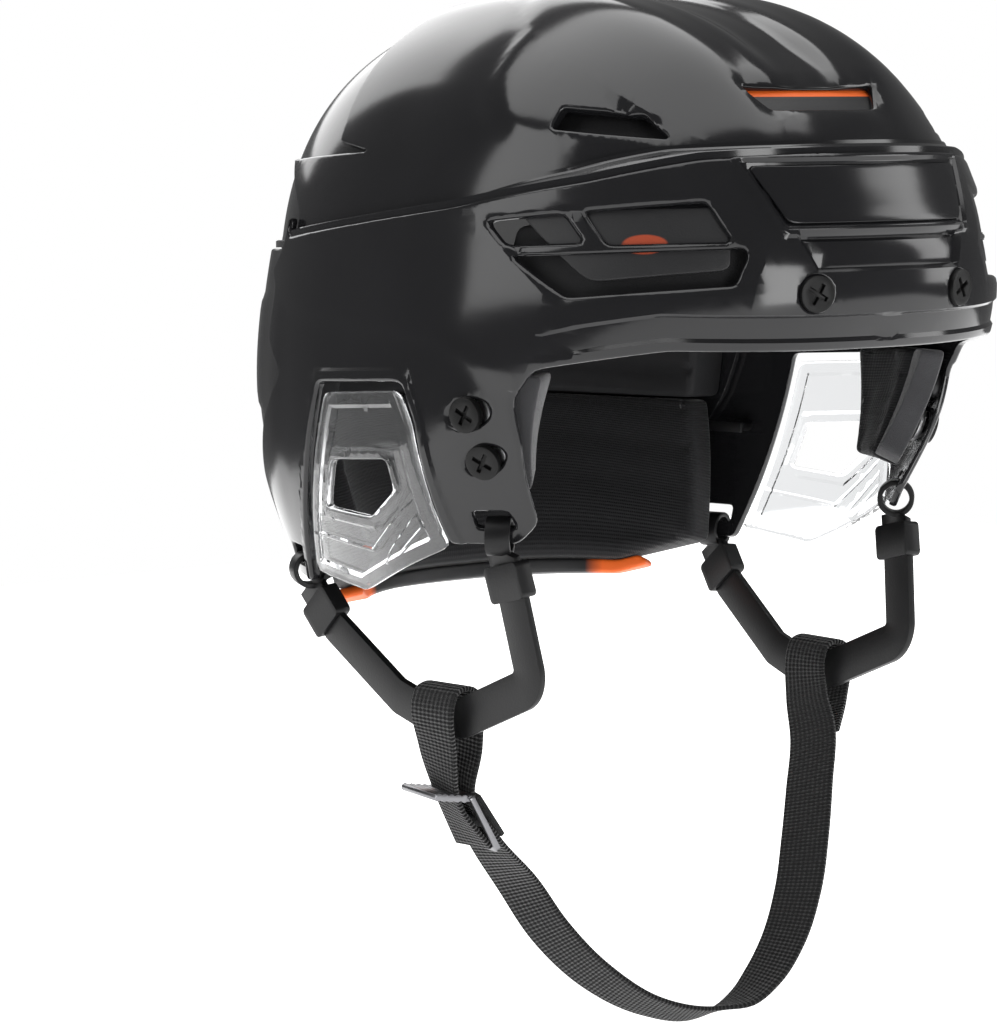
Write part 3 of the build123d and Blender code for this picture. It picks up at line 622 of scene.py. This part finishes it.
frontShell = {
    "wall": 2.8,
    "cell": 3.2,
    "bandRound": 1.3,
    "domeRound": 1.1,
    "ends": (-150, 58),
    "domeLap": 5,
    "bandEdge": [(58, 44), (63, 32), (72, 24), (66, 19), (69.5, 1), (57, -10), (72, -25),
                 (86, -48), (85, -81), (47, -81), (26, -11), (-22, -8), (-28, -20), (-35.5, -60),
                 (-53, -60), (-60, -53), (-66.5, -26), (-67, -12), (-75, -2), (-92, 1),
                 (-112, 4.5), (-150, 3)],
    "domeEdge": [(58, 44), (79, 62), (16, 65.5), (38, 68.5), (46, 100), (46, 130), (-150, 130)],
    "scoops": [[(-55, 43.9), (-81, 46.8), (-89, 38.2), (-63, 36.9)],
               [(-87.5, 47.6), (-116.5, 50.8), (-124.5, 38.8), (-96, 37.6)],
               [(-66, 33.4), (-127.2, 36.6), (-128, 33.5), (-127, 25), (-86, 21)]],
    "scoopSink": 1.6,
    "scoopSlope": 1.2,
    "scoopBevel": 0.6,
    "bevelWidth": 2.6,
    "upperSlot": [(-65.5, 79), (-65.5, 72.5), (-98, 69.2), (-89, 76.7)],
    "upperFlare": [(-71, 86.5), (-80, 77), (-103, 69.3), (-96, 74)],
    "flareDepth": 1.6,
    "flareSlope": 2.6,
    "frontVent": [(0, 86), (28, 86), (22, 79), (0, 79)],
    "ventLip": [(0, 88.5), (31, 88.5), (24.5, 76.5), (0, 76.5)],
    "lipDepth": 0.9,
    "lipSlope": 1.6,
    "browFront": -95,
    "pocket": [(0, 62), (44, 62), (37, 42.5), (0, 42.5)],
    "pocketDepth": 1.2,
    "beadHeight": 0.9,
    "beadSteps": (0.2, 1.2, 2.4, 3.4),
    "grille": [(0, 41.3), (35.5, 41.3), (29.5, 28.5), (0, 28.5)],
    "grilleDepth": 1.7,
    "grilleSlope": 1.6,
    "ribHeight": 1.3,
    "ribPitch": 3.3,
    "firstRib": 31.2,
    "strapSlots": [[(-54.6, -54.6), (-45, -54.6), (-45, -49), (-54.6, -49)],
                   [(49.6, -75.6), (62.4, -75.6), (62.4, -69.4), (49.6, -69.4)]],
    "screws": [("front", 30, 22), ("side", -51, -17), ("side", -54, -32)],
    "screwHole": 5.3,
    "rimEdge": [(-75, -3), (-92, 1), (-112, 4.5), (-150, 3)],
    "rimSteps": (3.2, 4.2, 10.8, 12.0),
    "rimFade": (-76, -96),
    "seam": [(-10, 113), (-28, 103), (-33, 88), (-52, 71), (-74, 67)],
    "seamHeight": 0.8,
    "seamSpread": 3,
    "earFrame": [(47, -81), (26, -11), (-22, -8), (-28, -20), (-35.5, -60)],
    "earFrameHeight": 0.8,
    "earFrameSteps": (3.6, 4.8),
    "earFrameFront": -60,
    "sideCrease": [(-66, -8), (-36, 6), (28, 10), (62, 14)],
    "sideCreaseDepth": 0.7,
    "scoop": [(-54, 44), (-117, 51), (-128, 34), (-127, 25), (-86, 21)],
    "scoopFrame": [(-50, 46), (-119, 53.5), (-131, 34), (-130, 22.5), (-84, 18)],
    "plateSide": 48,
    "lobeHeight": 2.2,
    "lobePlace": 36,
    "lobeSpread": 15,
    "channelDepth": 2.6,
    "channelSides": (17, 6),
}
ledge = {  # rows have a share of the way in, a depth under the band and a rise
    "rows": [(0, 0.9, -0.35), (0, 1.6, 0), (0.5, 0, 0), (0.82, 0, 0), (0.95, 0, 0.5),
             (1.02, 0, 1.6)],
    "wall": 2.2,
    "spacing": 2.2,
}


def shoulderHeight(y):
    line = np.array(shoulderLine, float)
    return np.interp(y, line[:, 0], line[:, 1])


def shoulderPoints(drop, start, stop):
    inside = [p[0] for p in shoulderLine if start < p[0] < stop]
    return [(y, float(shoulderHeight(y)) - drop) for y in [start, *inside, stop]]


def rimRelief(y, z):  # stepped rim of the brow
    spec = frontShell
    edge = np.array(spec["rimEdge"], float)
    height = z - np.interp(y, edge[::-1, 0], edge[::-1, 1])
    a, b, c, d = spec["rimSteps"]
    return ramp(*spec["rimFade"], y) * ramp(a, b, height) * ramp(d, c, height)


def plateSeatRelief(place, z):  # bead round the plate, its pocket and the ribbed recess
    spec = frontShell
    pocket = bothSides(spec["pocket"])
    gap = np.abs(lineDistance(place, pocket + pocket[:1]))
    inside = insideShape(place, pocket)
    a, b, c, d = spec["beadSteps"]
    bead = spec["beadHeight"] * ramp(a, b, gap) * ramp(d, c, gap)
    relief = np.where(inside, spec["pocketDepth"] * ramp(0, 0.5, gap), -bead)
    sunk = shapeDepth(place, bothSides(spec["grille"]))
    ribs = 0.5 + 0.5 * np.cos((z - spec["firstRib"]) * 2 * np.pi / spec["ribPitch"])
    ribs = spec["ribHeight"] * ribs ** 3 * ramp(2, 4, sunk)
    return relief + ramp(0, spec["grilleSlope"], sunk) * (spec["grilleDepth"] - ribs)


def bandRelief(point):
    spec = frontShell
    x, y, z = np.abs(point[:, 0]), point[:, 1], point[:, 2]
    side = np.stack([y, z], 1)
    isFront = y < spec["browFront"]
    relief = rimRelief(y, z)
    relief += isFront * plateSeatRelief(np.stack([point[:, 0], z], 1), z)
    near, far = spec["earFrameSteps"]  # moulded frame round the ear opening
    gap = np.abs(lineDistance(side, spec["earFrame"]))
    relief -= spec["earFrameHeight"] * ramp(far, near, gap) * (y > spec["earFrameFront"])
    crease = smoothStep(-3, 3, -lineDistance(side, spec["sideCrease"]))
    crease = crease * smoothStep(64, 52, y) * smoothStep(-86, -60, y) * smoothStep(-70, -40, z)
    relief += spec["sideCreaseDepth"] * crease
    away = ~(isFront & (x < spec["plateSide"]))  # bevelled frame of the side scoop
    sunk = shapeDepth(side, spec["scoopFrame"])
    relief += away * spec["scoopBevel"] * ramp(0, spec["bevelWidth"], sunk)
    sunk = shapeDepth(side, spec["scoop"])
    relief += away * spec["scoopSink"] * ramp(0, spec["scoopSlope"], sunk)
    return relief


def domeRelief(point):
    spec = frontShell
    x, y, z = np.abs(point[:, 0]), point[:, 1], point[:, 2]
    side = np.stack([y, z], 1)
    fade = smoothStep(-112, -80, y) * smoothStep(70, 88, z)
    channel = spec["channelDepth"] * smoothStep(*spec["channelSides"], x)
    lobe = spec["lobeHeight"] * np.exp(-((x - spec["lobePlace"]) / spec["lobeSpread"]) ** 2)
    relief = fade * (channel - lobe)
    sunk = shapeDepth(np.stack([point[:, 0], z], 1), bothSides(spec["ventLip"]))
    relief += (y < -60) * spec["lipDepth"] * smoothStep(0, spec["lipSlope"], sunk)
    sunk = shapeDepth(side, spec["upperFlare"])  # facet that opens the upper slot forward
    relief += (x > 20) * spec["flareDepth"] * smoothStep(0, spec["flareSlope"], sunk)
    beyond = -lineDistance(side, spec["seam"])  # raised front panel over the side slot
    panel = smoothStep(-spec["seamSpread"], spec["seamSpread"], beyond) * smoothStep(22, 34, x)
    return relief - spec["seamHeight"] * panel


def frontBandMesh():
    spec = frontShell
    band = forms["band"]
    loops = [flatLoop(band, shoulderPoints(0, *spec["ends"]) + spec["bandEdge"])]
    for hole in spec["scoops"] + spec["strapSlots"]:
        loop = flatLoop(band, hole, spacing=1.1, soften=1)
        loops += [loop, mirrored(loop)]
    turns = np.linspace(0, 2 * math.pi, 33)[:-1]
    for seen, a, b in spec["screws"]:
        centre = onForm(band, [(a, b)], seen=seen)[0]
        loop = centre + spec["screwHole"] * np.stack([np.cos(turns), np.sin(turns)], 1)
        loops += [loop, mirrored(loop)]
    creases = []
    for height in spec["rimSteps"]:
        creases += creaseOn("band", [(y, z + height) for y, z in spec["rimEdge"]])
    frame, outward = spec["scoopFrame"], [-step for step in spec["earFrameSteps"]]
    creases += creaseOn("band", spec["pocket"], (0, *spec["beadSteps"]), seen="front")
    creases += creaseOn("band", spec["grille"], (0, -spec["grilleSlope"]), seen="front")
    creases += creaseOn("band", spec["earFrame"], outward)
    creases += creaseOn("band", frame + frame[:1], (0, spec["bevelWidth"]))
    return curvedPanel(loops, "band", 0, spec["wall"], edge=spec["bandRound"], cell=spec["cell"],
                       relief=bandRelief, creases=creases)


def frontDomeMesh():
    spec = frontShell
    dome = forms["dome"]
    loops = [flatLoop(dome, shoulderPoints(spec["domeLap"], *spec["ends"]) + spec["domeEdge"])]
    slot = flatLoop(dome, spec["upperSlot"], spacing=1.1, soften=1)
    vent = flatLoop(dome, spec["frontVent"], seen="front", spacing=1.1, soften=1)
    loops += [slot, mirrored(slot), vent]
    flare = spec["upperFlare"]
    return curvedPanel(loops, "dome", 0, spec["wall"], edge=spec["domeRound"], cell=spec["cell"],
                       relief=domeRelief, creases=creaseOn("dome", flare + flare[:1]))


def joinShell(name, meshes, depth, ends, rear, body, node):
    whole = bmesh.new()
    for mesh in (*meshes, ledgeMesh(depth, *ends, rear)):
        whole.from_mesh(mesh)
    mesh = bpy.data.meshes.new(name)
    whole.to_mesh(mesh)
    whole.free()
    finishMesh(name, mesh, "shell", body, node, sharp=26, even=True)


def ledgeMesh(depth, start, stop, rear):  # shoulder strip from the band in to the dome
    band, dome = forms["band"], forms["dome"]
    flat = onForm(band, alongLine(shoulderPoints(0, start, stop), drawing["dense"], False), rear)
    half = flat[np.abs(flat[:, 0]) > drawing["middle"]]
    sides = [half, half[::-1] * [-1, 1]] if rear else [half[::-1], half * [-1, 1]]
    line = alongLine(np.concatenate(sides), ledge["spacing"], False)
    u, v = fromFlat(band, line, rear)
    outer = surfacePoint(band, u, v)
    outNormal = surfaceNormal(band, u, v)
    z = outer[:, 2]
    vDome = np.interp(z, dome["zTable"], dome["vTable"])
    inner = surfacePoint(dome, u / band["round"] * dome["round"], vDome)
    innerNormal = surfaceNormal(dome, u / band["round"] * dome["round"], vDome)
    rows, last = ledge["rows"], len(line) - 1
    strip = bmesh.new()
    bmesh.ops.create_grid(strip, x_segments=last, y_segments=len(rows) - 1, size=1)
    for vert in strip.verts:
        i = int(round((vert.co.x + 1) / 2 * last))
        j = int(round((vert.co.y + 1) / 2 * (len(rows) - 1)))
        share, inward, rise = rows[j]
        bandSpot = outer[i] - outNormal[i] * (depth + inward)
        domeSpot = inner[i] - innerNormal[i] * depth
        spot = bandSpot * (1 - share) + domeSpot * share
        spot[2] = z[i] - depth + rise
        vert.co = Vector(spot * mm)
    bmesh.ops.solidify(strip, geom=strip.faces[:], thickness=-ledge["wall"] * mm)
    bmesh.ops.recalc_face_normals(strip, faces=strip.faces[:])
    for face in strip.faces:
        face.smooth = True
    mesh = bpy.data.meshes.new("ledge")
    strip.to_mesh(mesh)
    strip.free()
    return mesh


joinShell("frontShell", [frontBandMesh(), frontDomeMesh()], 0, frontShell["ends"], False,
          "front_half", "front_shell")
print("front shell made")

# Rear shell, nested inside the front one

rearShell = {
    "depth": 3.2,
    "wall": 2.8,
    "bandEdge": [(150, -89), (84, -89), (79, -62), (58, -28), (49, -6), (32, 3)],
    "domeEdge": [(150, 130), (8, 130), (8, 42)],
    "dialHeight": -48.456,
    "dialHole": 3.2,
    "cell": 3.2,
    "round": 1.1,
    "bandEnds": (32, 150),
    "domeEnds": (8, 150),
    "domeLap": 5,
    "upperRib": [(60, 22), (104, 12), (150, 12)],
    "lowerRib": [(70, -30), (104, -22), (150, -22)],
    "ribDepth": 0.9,
    "ribSpread": 1.2,
    "channelDepth": 1.2,
    "channelSides": (17, 7),
    "lobeHeight": 1.1,
    "lobePlace": 36,
    "lobeSpread": 14,
}


def rearBandRelief(point):
    spec = rearShell
    y, z = point[:, 1], point[:, 2]
    side, spread = np.stack([y, z], 1), spec["ribSpread"]
    upper = smoothStep(-spread, spread, lineDistance(side, spec["upperRib"]))
    lower = smoothStep(-spread, spread, lineDistance(side, spec["lowerRib"]))
    relief = spec["ribDepth"] * (upper * smoothStep(64, 80, y) - lower * smoothStep(80, 96, y))
    seat = np.hypot(point[:, 0], z - spec["dialHeight"])
    return relief * smoothStep(20, 26, seat)


def rearDomeRelief(point):
    spec = rearShell
    x, y, z = np.abs(point[:, 0]), point[:, 1], point[:, 2]
    fade = smoothStep(112, 96, y) * smoothStep(60, 80, z)
    lobe = spec["lobeHeight"] * np.exp(-((x - spec["lobePlace"]) / spec["lobeSpread"]) ** 2)
    return fade * (spec["channelDepth"] * smoothStep(*spec["channelSides"], x) - lobe)


def rearMeshes():
    spec = rearShell
    depth, wall = spec["depth"], spec["wall"]
    band, dome = forms["band"], forms["dome"]
    edge = shoulderPoints(depth, *spec["bandEnds"]) + spec["bandEdge"]
    v = np.interp(spec["dialHeight"], band["zTable"], band["vTable"])
    turns = np.linspace(0, 2 * math.pi, 17)[:-1]
    hole = np.array([0, v]) + spec["dialHole"] * np.stack([np.cos(turns), np.sin(turns)], 1)
    bandMesh = curvedPanel([flatLoop(band, edge, rear=True), hole], "band", depth, wall,
                           rear=True, edge=spec["round"], cell=spec["cell"],
                           relief=rearBandRelief)
    edge = shoulderPoints(depth + spec["domeLap"], *spec["domeEnds"]) + spec["domeEdge"]
    domeMesh = curvedPanel([flatLoop(dome, edge)], "dome", depth, wall, edge=spec["round"],
                           cell=spec["cell"], relief=rearDomeRelief)
    return bandMesh, domeMesh


joinShell("rearShell", rearMeshes(), rearShell["depth"], rearShell["bandEnds"], True,
          "rear_half", "rear_shell")
print("rear shell made")

# Brow plate and ear guards

browPlate = {
    "outline": [(0, 61), (43, 61), (36, 43.5), (0, 43.5)],
    "wall": 0.9,
    "face": [(0, 59), (40.5, 59), (34, 45.5), (0, 45.5)],
    "faceDepth": 0.25,
}


def plateRelief(point):
    sunk = shapeDepth(np.stack([point[:, 0], point[:, 2]], 1), bothSides(browPlate["face"]))
    return browPlate["faceDepth"] * (smoothStep(0, 1.0, sunk) - 1)


def browPlatePiece():
    loop = flatLoop(forms["band"], browPlate["outline"], seen="front", soften=2)
    mesh = curvedPanel([loop], "band", 0, browPlate["wall"], edge=0.4, innerEdge=0.1, cell=3.5,
                       relief=plateRelief)
    finishMesh("browPlate", mesh, "plate", "front_half", "brow_plate")


browPlatePiece()

earGuard = {
    "depth": 0.9,
    "wall": 3.0,
    "outline": [(23, -14), (-19, -11), (-25, -22), (-31, -50), (-34, -62), (9, -80),
                (43.5, -77)],
    "window": [(19, -36.5), (-13, -34), (-16, -44), (-2, -54), (25, -53)],
    "panel": 0.9,
    "border": (4.3, 5.5),
    "frame": (3.0, 4.2),
    "lines": [[(35, -63), (0, -65.3), (-21.5, -48.7)],
              [(-8, -66.5), (-24.5, -52), (-26, -56), (-13, -66.5)]],
    "lineHeight": 0.4,
    "lineEdge": (0.8, 0.3),
}


def guardRelief(point):
    spec = earGuard
    side = np.stack([point[:, 1], point[:, 2]], 1)
    outline, window = spec["outline"], spec["window"]
    border = np.abs(lineDistance(side, outline + outline[:1]))
    inner = np.abs(lineDistance(side, window + window[:1]))
    relief = spec["panel"] * ramp(*spec["border"], border) * ramp(*spec["frame"], inner)
    for line in spec["lines"]:
        relief -= spec["lineHeight"] * ramp(*spec["lineEdge"], np.abs(lineDistance(side, line)))
    return relief


def earGuardPiece(side, label):
    spec = earGuard
    outline = flatLoop(forms["band"], spec["outline"], soften=3)
    window = flatLoop(forms["band"], spec["window"], spacing=1.1, soften=2)
    loops = [outline, window] if side > 0 else [mirrored(outline), mirrored(window)]
    border, frame, (far, near) = spec["outline"], spec["window"], spec["lineEdge"]
    creases = creaseOn("band", border + border[:1], spec["border"], sides=(side,))
    creases += creaseOn("band", frame + frame[:1], [-step for step in spec["frame"]],
                        sides=(side,))
    for line in spec["lines"]:
        creases += creaseOn("band", line, (-far, -near, near, far), sides=(side,))
    mesh = curvedPanel(loops, "band", spec["depth"], spec["wall"], edge=1.1, innerEdge=0.6,
                       cell=4.0, relief=guardRelief, creases=creases)
    finishMesh(f"earGuard{label}", mesh, "guard", "front_half", f"ear_guard_{label.lower()}",
               sharp=26, even=True)


for side, label in ((1, "Left"), (-1, "Right")):
    earGuardPiece(side, label)
print("plate and ear guards made")

# Foam liners, pads, felt and coloured trim

softLayers = {
    # name: form, depth, wall, outline, rear, both sides, edge rounding, material, body, node
    "foreheadLiner": ("band", 6.6, 10.5, [(-150, 52), (-62, 44), (-58, 3), (-150, 6)], False,
                      False, 2.5, "liner", "front_half", "forehead_liner"),
    "browComfortPad": ("band", 17.4, 4, [(-150, 40), (-66, 34), (-62, 6), (-150, 8)], False,
                       False, 1.6, "pad", "front_half", "brow_comfort_pad"),
    "frontCrownLiner": ("dome", 6.6, 10.5, [(-110, 66), (-100, 130), (-8, 130), (-8, 66)], False,
                        False, 2.5, "liner", "front_half", "front_crown_liner"),
    "rearCrownLiner": ("dome", 6.3, 10.8, [(24, 130), (112, 130), (118, 48), (24, 48)], False,
                       False, 2.5, "liner", "rear_half", "rear_crown_liner"),
    "rearLiner": ("band", 6.3, 18, [(150, 26), (52, 26), (60, -29), (150, -33)], True,
                  False, 3.0, "liner", "rear_half", "rear_liner"),
    "napePad": ("band", 10.5, 14, [(150, -34), (62, -30), (52, -84), (84, -93), (150, -93)], True,
                False, 4.0, "pad", "rear_half", "nape_pad"),
    "napeTrim": ("band", 10.5, 9, [(150, -93.4), (84, -93.4), (76, -91.2), (72, -93.9), (84, -97),
                                   (150, -97)], True, False, 1.0, "napeTrim", "rear_half",
                 "nape_trim"),
    "sideVentInsert": ("band", 3.1, 3.0, [(-64, 48), (-122, 50), (-126, 30), (-92, 26)], False,
                       True, 0.5, "sideInsert", "front_half", "side_vent_insert"),
    "templePad": ("band", 6.6, 10, [(-65.5, -5), (-25, -4), (-29, -46), (-54.5, -48.5)],
                  False, True, 3.0, "pad", "front_half", "temple_pad"),
    "templeFelt": ("band", 6.6, 8.5, [(-75, -5), (-66, -5), (-55, -48.5), (-62, -45)],
                   False, True, 0.8, "felt", "front_half", "temple_felt"),
}


ventInsert = [(0, 89), (32, 89), (26, 76), (0, 76)]
softGrooves = {"pitch": 17, "height": 1.1}


def softRelief(point, rim):  # shallow grooves across the face the wearer feels
    along = np.where(np.abs(point[:, 1]) > 60, point[:, 2], point[:, 1])
    wave = 0.5 + 0.5 * np.cos(along * 2 * np.pi / softGrooves["pitch"])
    return -softGrooves["height"] * wave ** 6 * smoothStep(0.5, 2.0, rim)


def softLayerPieces():
    for name, spec in softLayers.items():
        form, depth, wall, outline, rear, both, edge, paint, body, node = spec
        loop = flatLoop(forms[form], outline, rear=rear, soften=4)
        inner = softRelief if paint in ("liner", "pad") else None
        for side in ((1, -1) if both else (1,)):
            mesh = curvedPanel([loop if side > 0 else mirrored(loop)], form, depth, wall,
                               rear=rear, edge=min(edge, 1.2), innerEdge=edge, cell=4.0,
                               innerRelief=inner)
            ending = {1: "_left", -1: "_right"}[side] if both else ""
            obj = finishMesh(name + ending.title().replace("_", ""), mesh, paint, body,
                             node + ending)
    loop = flatLoop(forms["dome"], ventInsert, seen="front", soften=2)
    mesh = curvedPanel([loop], "dome", 3.1, 3.0, edge=0.4, cell=4.0)
    finishMesh("frontVentInsert", mesh, "ventInsert", "front_half", "front_vent_insert")


softLayerPieces()
print("liners and pads made")

# Fittings that keep their measured shape


def refined(node, bevel, paint, body, sharp=34):  # merged copy with its edges rounded
    source = frame["nodes"][node]
    work = bmesh.new()
    work.from_mesh(source.data)
    bmesh.ops.remove_doubles(work, verts=work.verts[:], dist=1e-5)
    bmesh.ops.dissolve_limit(work, angle_limit=math.radians(2.5), verts=work.verts[:],
                             edges=work.edges[:])
    sharpEdges = [e for e in work.edges if len(e.link_faces) == 2
                  and e.calc_face_angle(0) > math.radians(sharp)]
    if bevel:
        bmesh.ops.bevel(work, geom=sharpEdges, offset=bevel * mm, segments=2, profile=0.5,
                        affect="EDGES", clamp_overlap=True, material=-1)
    bmesh.ops.triangulate(work, faces=[f for f in work.faces if len(f.verts) > 4])
    for face in work.faces:
        face.smooth = True
    mesh = bpy.data.meshes.new(node)
    work.to_mesh(mesh)
    work.free()
    finishMesh(node + "Shown", mesh, paint, body, node, sharp=30)


fittings = {
    "forehead_screws": (0.25, "screw", "front_half"), "side_screws": (0.25, "screw", "front_half"),
    "forehead_nuts": (0.15, "nut", "front_half"), "side_nuts": (0.15, "nut", "front_half"),
    "size_tape_left": (0.1, "strap", "front_half"), "size_tape_right": (0.1, "strap", "front_half"),
    "dial_housing": (0.25, "dial", "rear_half"), "size_dial": (0.35, "dial", "dial"),
    "dial_pinion": (0.1, "dial", "dial"),
    "keeper_front_left": (0.3, "strap", "left_yoke"),
    "keeper_front_right": (0.3, "strap", "right_yoke"),
    "keeper_rear_left": (0.3, "strap", "left_yoke"),
    "keeper_rear_right": (0.3, "strap", "right_yoke"),
    "yoke_left": (0.5, "strap", "left_yoke"), "yoke_right": (0.5, "strap", "right_yoke"),
    "webbing_tail": (0.2, "webbing", "chin_strap"), "slide_buckle": (0.3, "buckle", "chin_strap"),
}
for node, (bevel, paint, body) in fittings.items():
    refined(node, bevel, paint, body)
print("fittings made")

# Chin webbing

webbing = {
    "width": 19,
    "wall": 1.6,
    "foldRise": 3.5,
    "foldSteps": 5,
    "rightSpread": [5.8, 5.6, 2.6, 2.2],
    "leftSpread": [5.6, 5.4, 1.2],
    # middle point, turn of the width and its tilt, from the right loop to the left one
    "route": [
        (-82, -13, -114, -80, 0), (-79.5, -11.5, -131, -88, 4), (-77, -10, -148, -106, 14),
        (-67.5, -10.5, -165, -103, 22), (-51.5, -11, -182, -90, 30), (-41.5, -16, -199, -87, 34),
        (-28.5, -23.5, -214.5, -93, 33), (-12, -33, -226, -107, 30), (3, -40.5, -229.5, -120, 25),
        (11, -44, -228, -122, 13), (18, -47, -225, -114, -3), (25.5, -48.5, -218.5, -100, -8),
        (35, -48, -207.5, -88, -6), (45, -44.5, -191.5, -81, -4), (54, -38, -174.5, -80, -4),
        (62.5, -30.5, -159, -81, -1), (72, -22.5, -143, -83, 2), (79.5, -15, -131, -88, 1),
        (82, -13, -114, -88, 0)],
}


def unit(vector):
    return vector / np.linalg.norm(vector)


def webbingStation(index):
    route = np.array(webbing["route"], float)
    last = len(route) - 1
    ahead = unit(route[min(index + 1, last), :3] - route[max(index - 1, 0), :3])
    if index in (0, last):
        ahead = np.array([0, 0, -1.0 if index == 0 else 1.0])
    turn, tilt = np.radians(route[index, 3:])
    across = np.array([np.cos(turn) * np.cos(tilt), np.sin(turn) * np.cos(tilt), np.sin(tilt)])
    across = unit(across - ahead * (across @ ahead))
    return route[index, :3], across, unit(np.cross(ahead, across))


def loopStations(indices, spreads):
    free, main, fold = [], [], []
    for index, spread in zip(indices, spreads):
        here, across, normal = webbingStation(index)
        free.append((here + normal * spread, across))
        main.append((here - normal * spread, across))
    here, across, normal = webbingStation(indices[0])
    for step in range(1, webbing["foldSteps"]):
        turn = math.pi * step / webbing["foldSteps"]
        rise = np.array([0, 0, webbing["foldRise"] * math.sin(turn)])
        fold.append((here + normal * (spreads[0] * math.cos(turn)) + rise, across))
    return free[::-1] + fold + main


def webbingLine():
    last = len(webbing["route"]) - 1
    near = loopStations([0, 1, 2, 3], webbing["rightSpread"])
    far = loopStations([last, last - 1, last - 2], webbing["leftSpread"])
    middle = [webbingStation(index)[:2] for index in range(4, last - 2)]
    stations = near + middle + far[::-1]
    return np.array([np.concatenate(station) for station in stations])


def smoothCurve(stations, spacing):  # its tangents are weighted by the length of the runs
    gaps = np.linalg.norm(np.diff(stations[:, :3], axis=0), axis=1)
    slopes = np.diff(stations, axis=0) / gaps[:, None]
    tangents = np.empty_like(stations)
    tangents[0], tangents[-1] = slopes[0], slopes[-1]
    ahead, behind = gaps[1:, None], gaps[:-1, None]
    tangents[1:-1] = (slopes[:-1] * ahead + slopes[1:] * behind) / (ahead + behind)
    line = []
    for index, gap in enumerate(gaps):
        count = max(2, int(round(gap / spacing)))
        t = np.linspace(0, 1, count, endpoint=False)[:, None]
        a, b = stations[index], stations[index + 1]
        p, q = tangents[index] * gap, tangents[index + 1] * gap
        line.append(a * (2 * t**3 - 3 * t**2 + 1) + p * (t**3 - 2 * t**2 + t)
                    + b * (3 * t**2 - 2 * t**3) + q * (t**3 - t**2))
    return np.concatenate(line + [stations[-1:]])


def strapMesh(line, width, wall, columns=8):  # line of places and width directions
    strap = bmesh.new()
    bmesh.ops.create_grid(strap, x_segments=columns, y_segments=len(line) - 1, size=1)
    uv = strap.loops.layers.uv.new("cloth")
    run = np.concatenate([[0], np.cumsum(np.linalg.norm(np.diff(line[:, :3], axis=0), axis=1))])
    for vert in strap.verts:
        row = int(round((vert.co.y + 1) / 2 * (len(line) - 1)))
        share = vert.co.x
        across = unit(line[row, 3:])
        for loop in vert.link_loops:
            loop[uv].uv = (share * width / 2 * mm, run[row] * mm)
        vert.co = Vector((line[row, :3] + across * share * width / 2) * mm)
    bmesh.ops.recalc_face_normals(strap, faces=strap.faces[:])
    for vert in strap.verts:
        vert.co -= vert.normal * wall * mm / 2
    bmesh.ops.solidify(strap, geom=strap.faces[:], thickness=-wall * mm)
    bmesh.ops.recalc_face_normals(strap, faces=strap.faces[:])
    border = [e for e in strap.edges if len(e.link_faces) == 2
              and e.calc_face_angle(0) > math.radians(60)]
    bmesh.ops.bevel(strap, geom=border, offset=0.45 * mm, segments=2, profile=0.5,
                    affect="EDGES", clamp_overlap=True, material=-1)
    for face in strap.faces:
        face.smooth = True
    mesh = bpy.data.meshes.new("strap")
    strap.to_mesh(mesh)
    strap.free()
    return mesh


def chinStrapPieces():
    line = smoothCurve(webbingLine(), 2.0)
    mesh = strapMesh(line, webbing["width"], webbing["wall"])
    finishMesh("chinWebbing", mesh, "webbing", "chin_strap", "chin_webbing", sharp=60)


chinStrapPieces()
print("chin strap made")
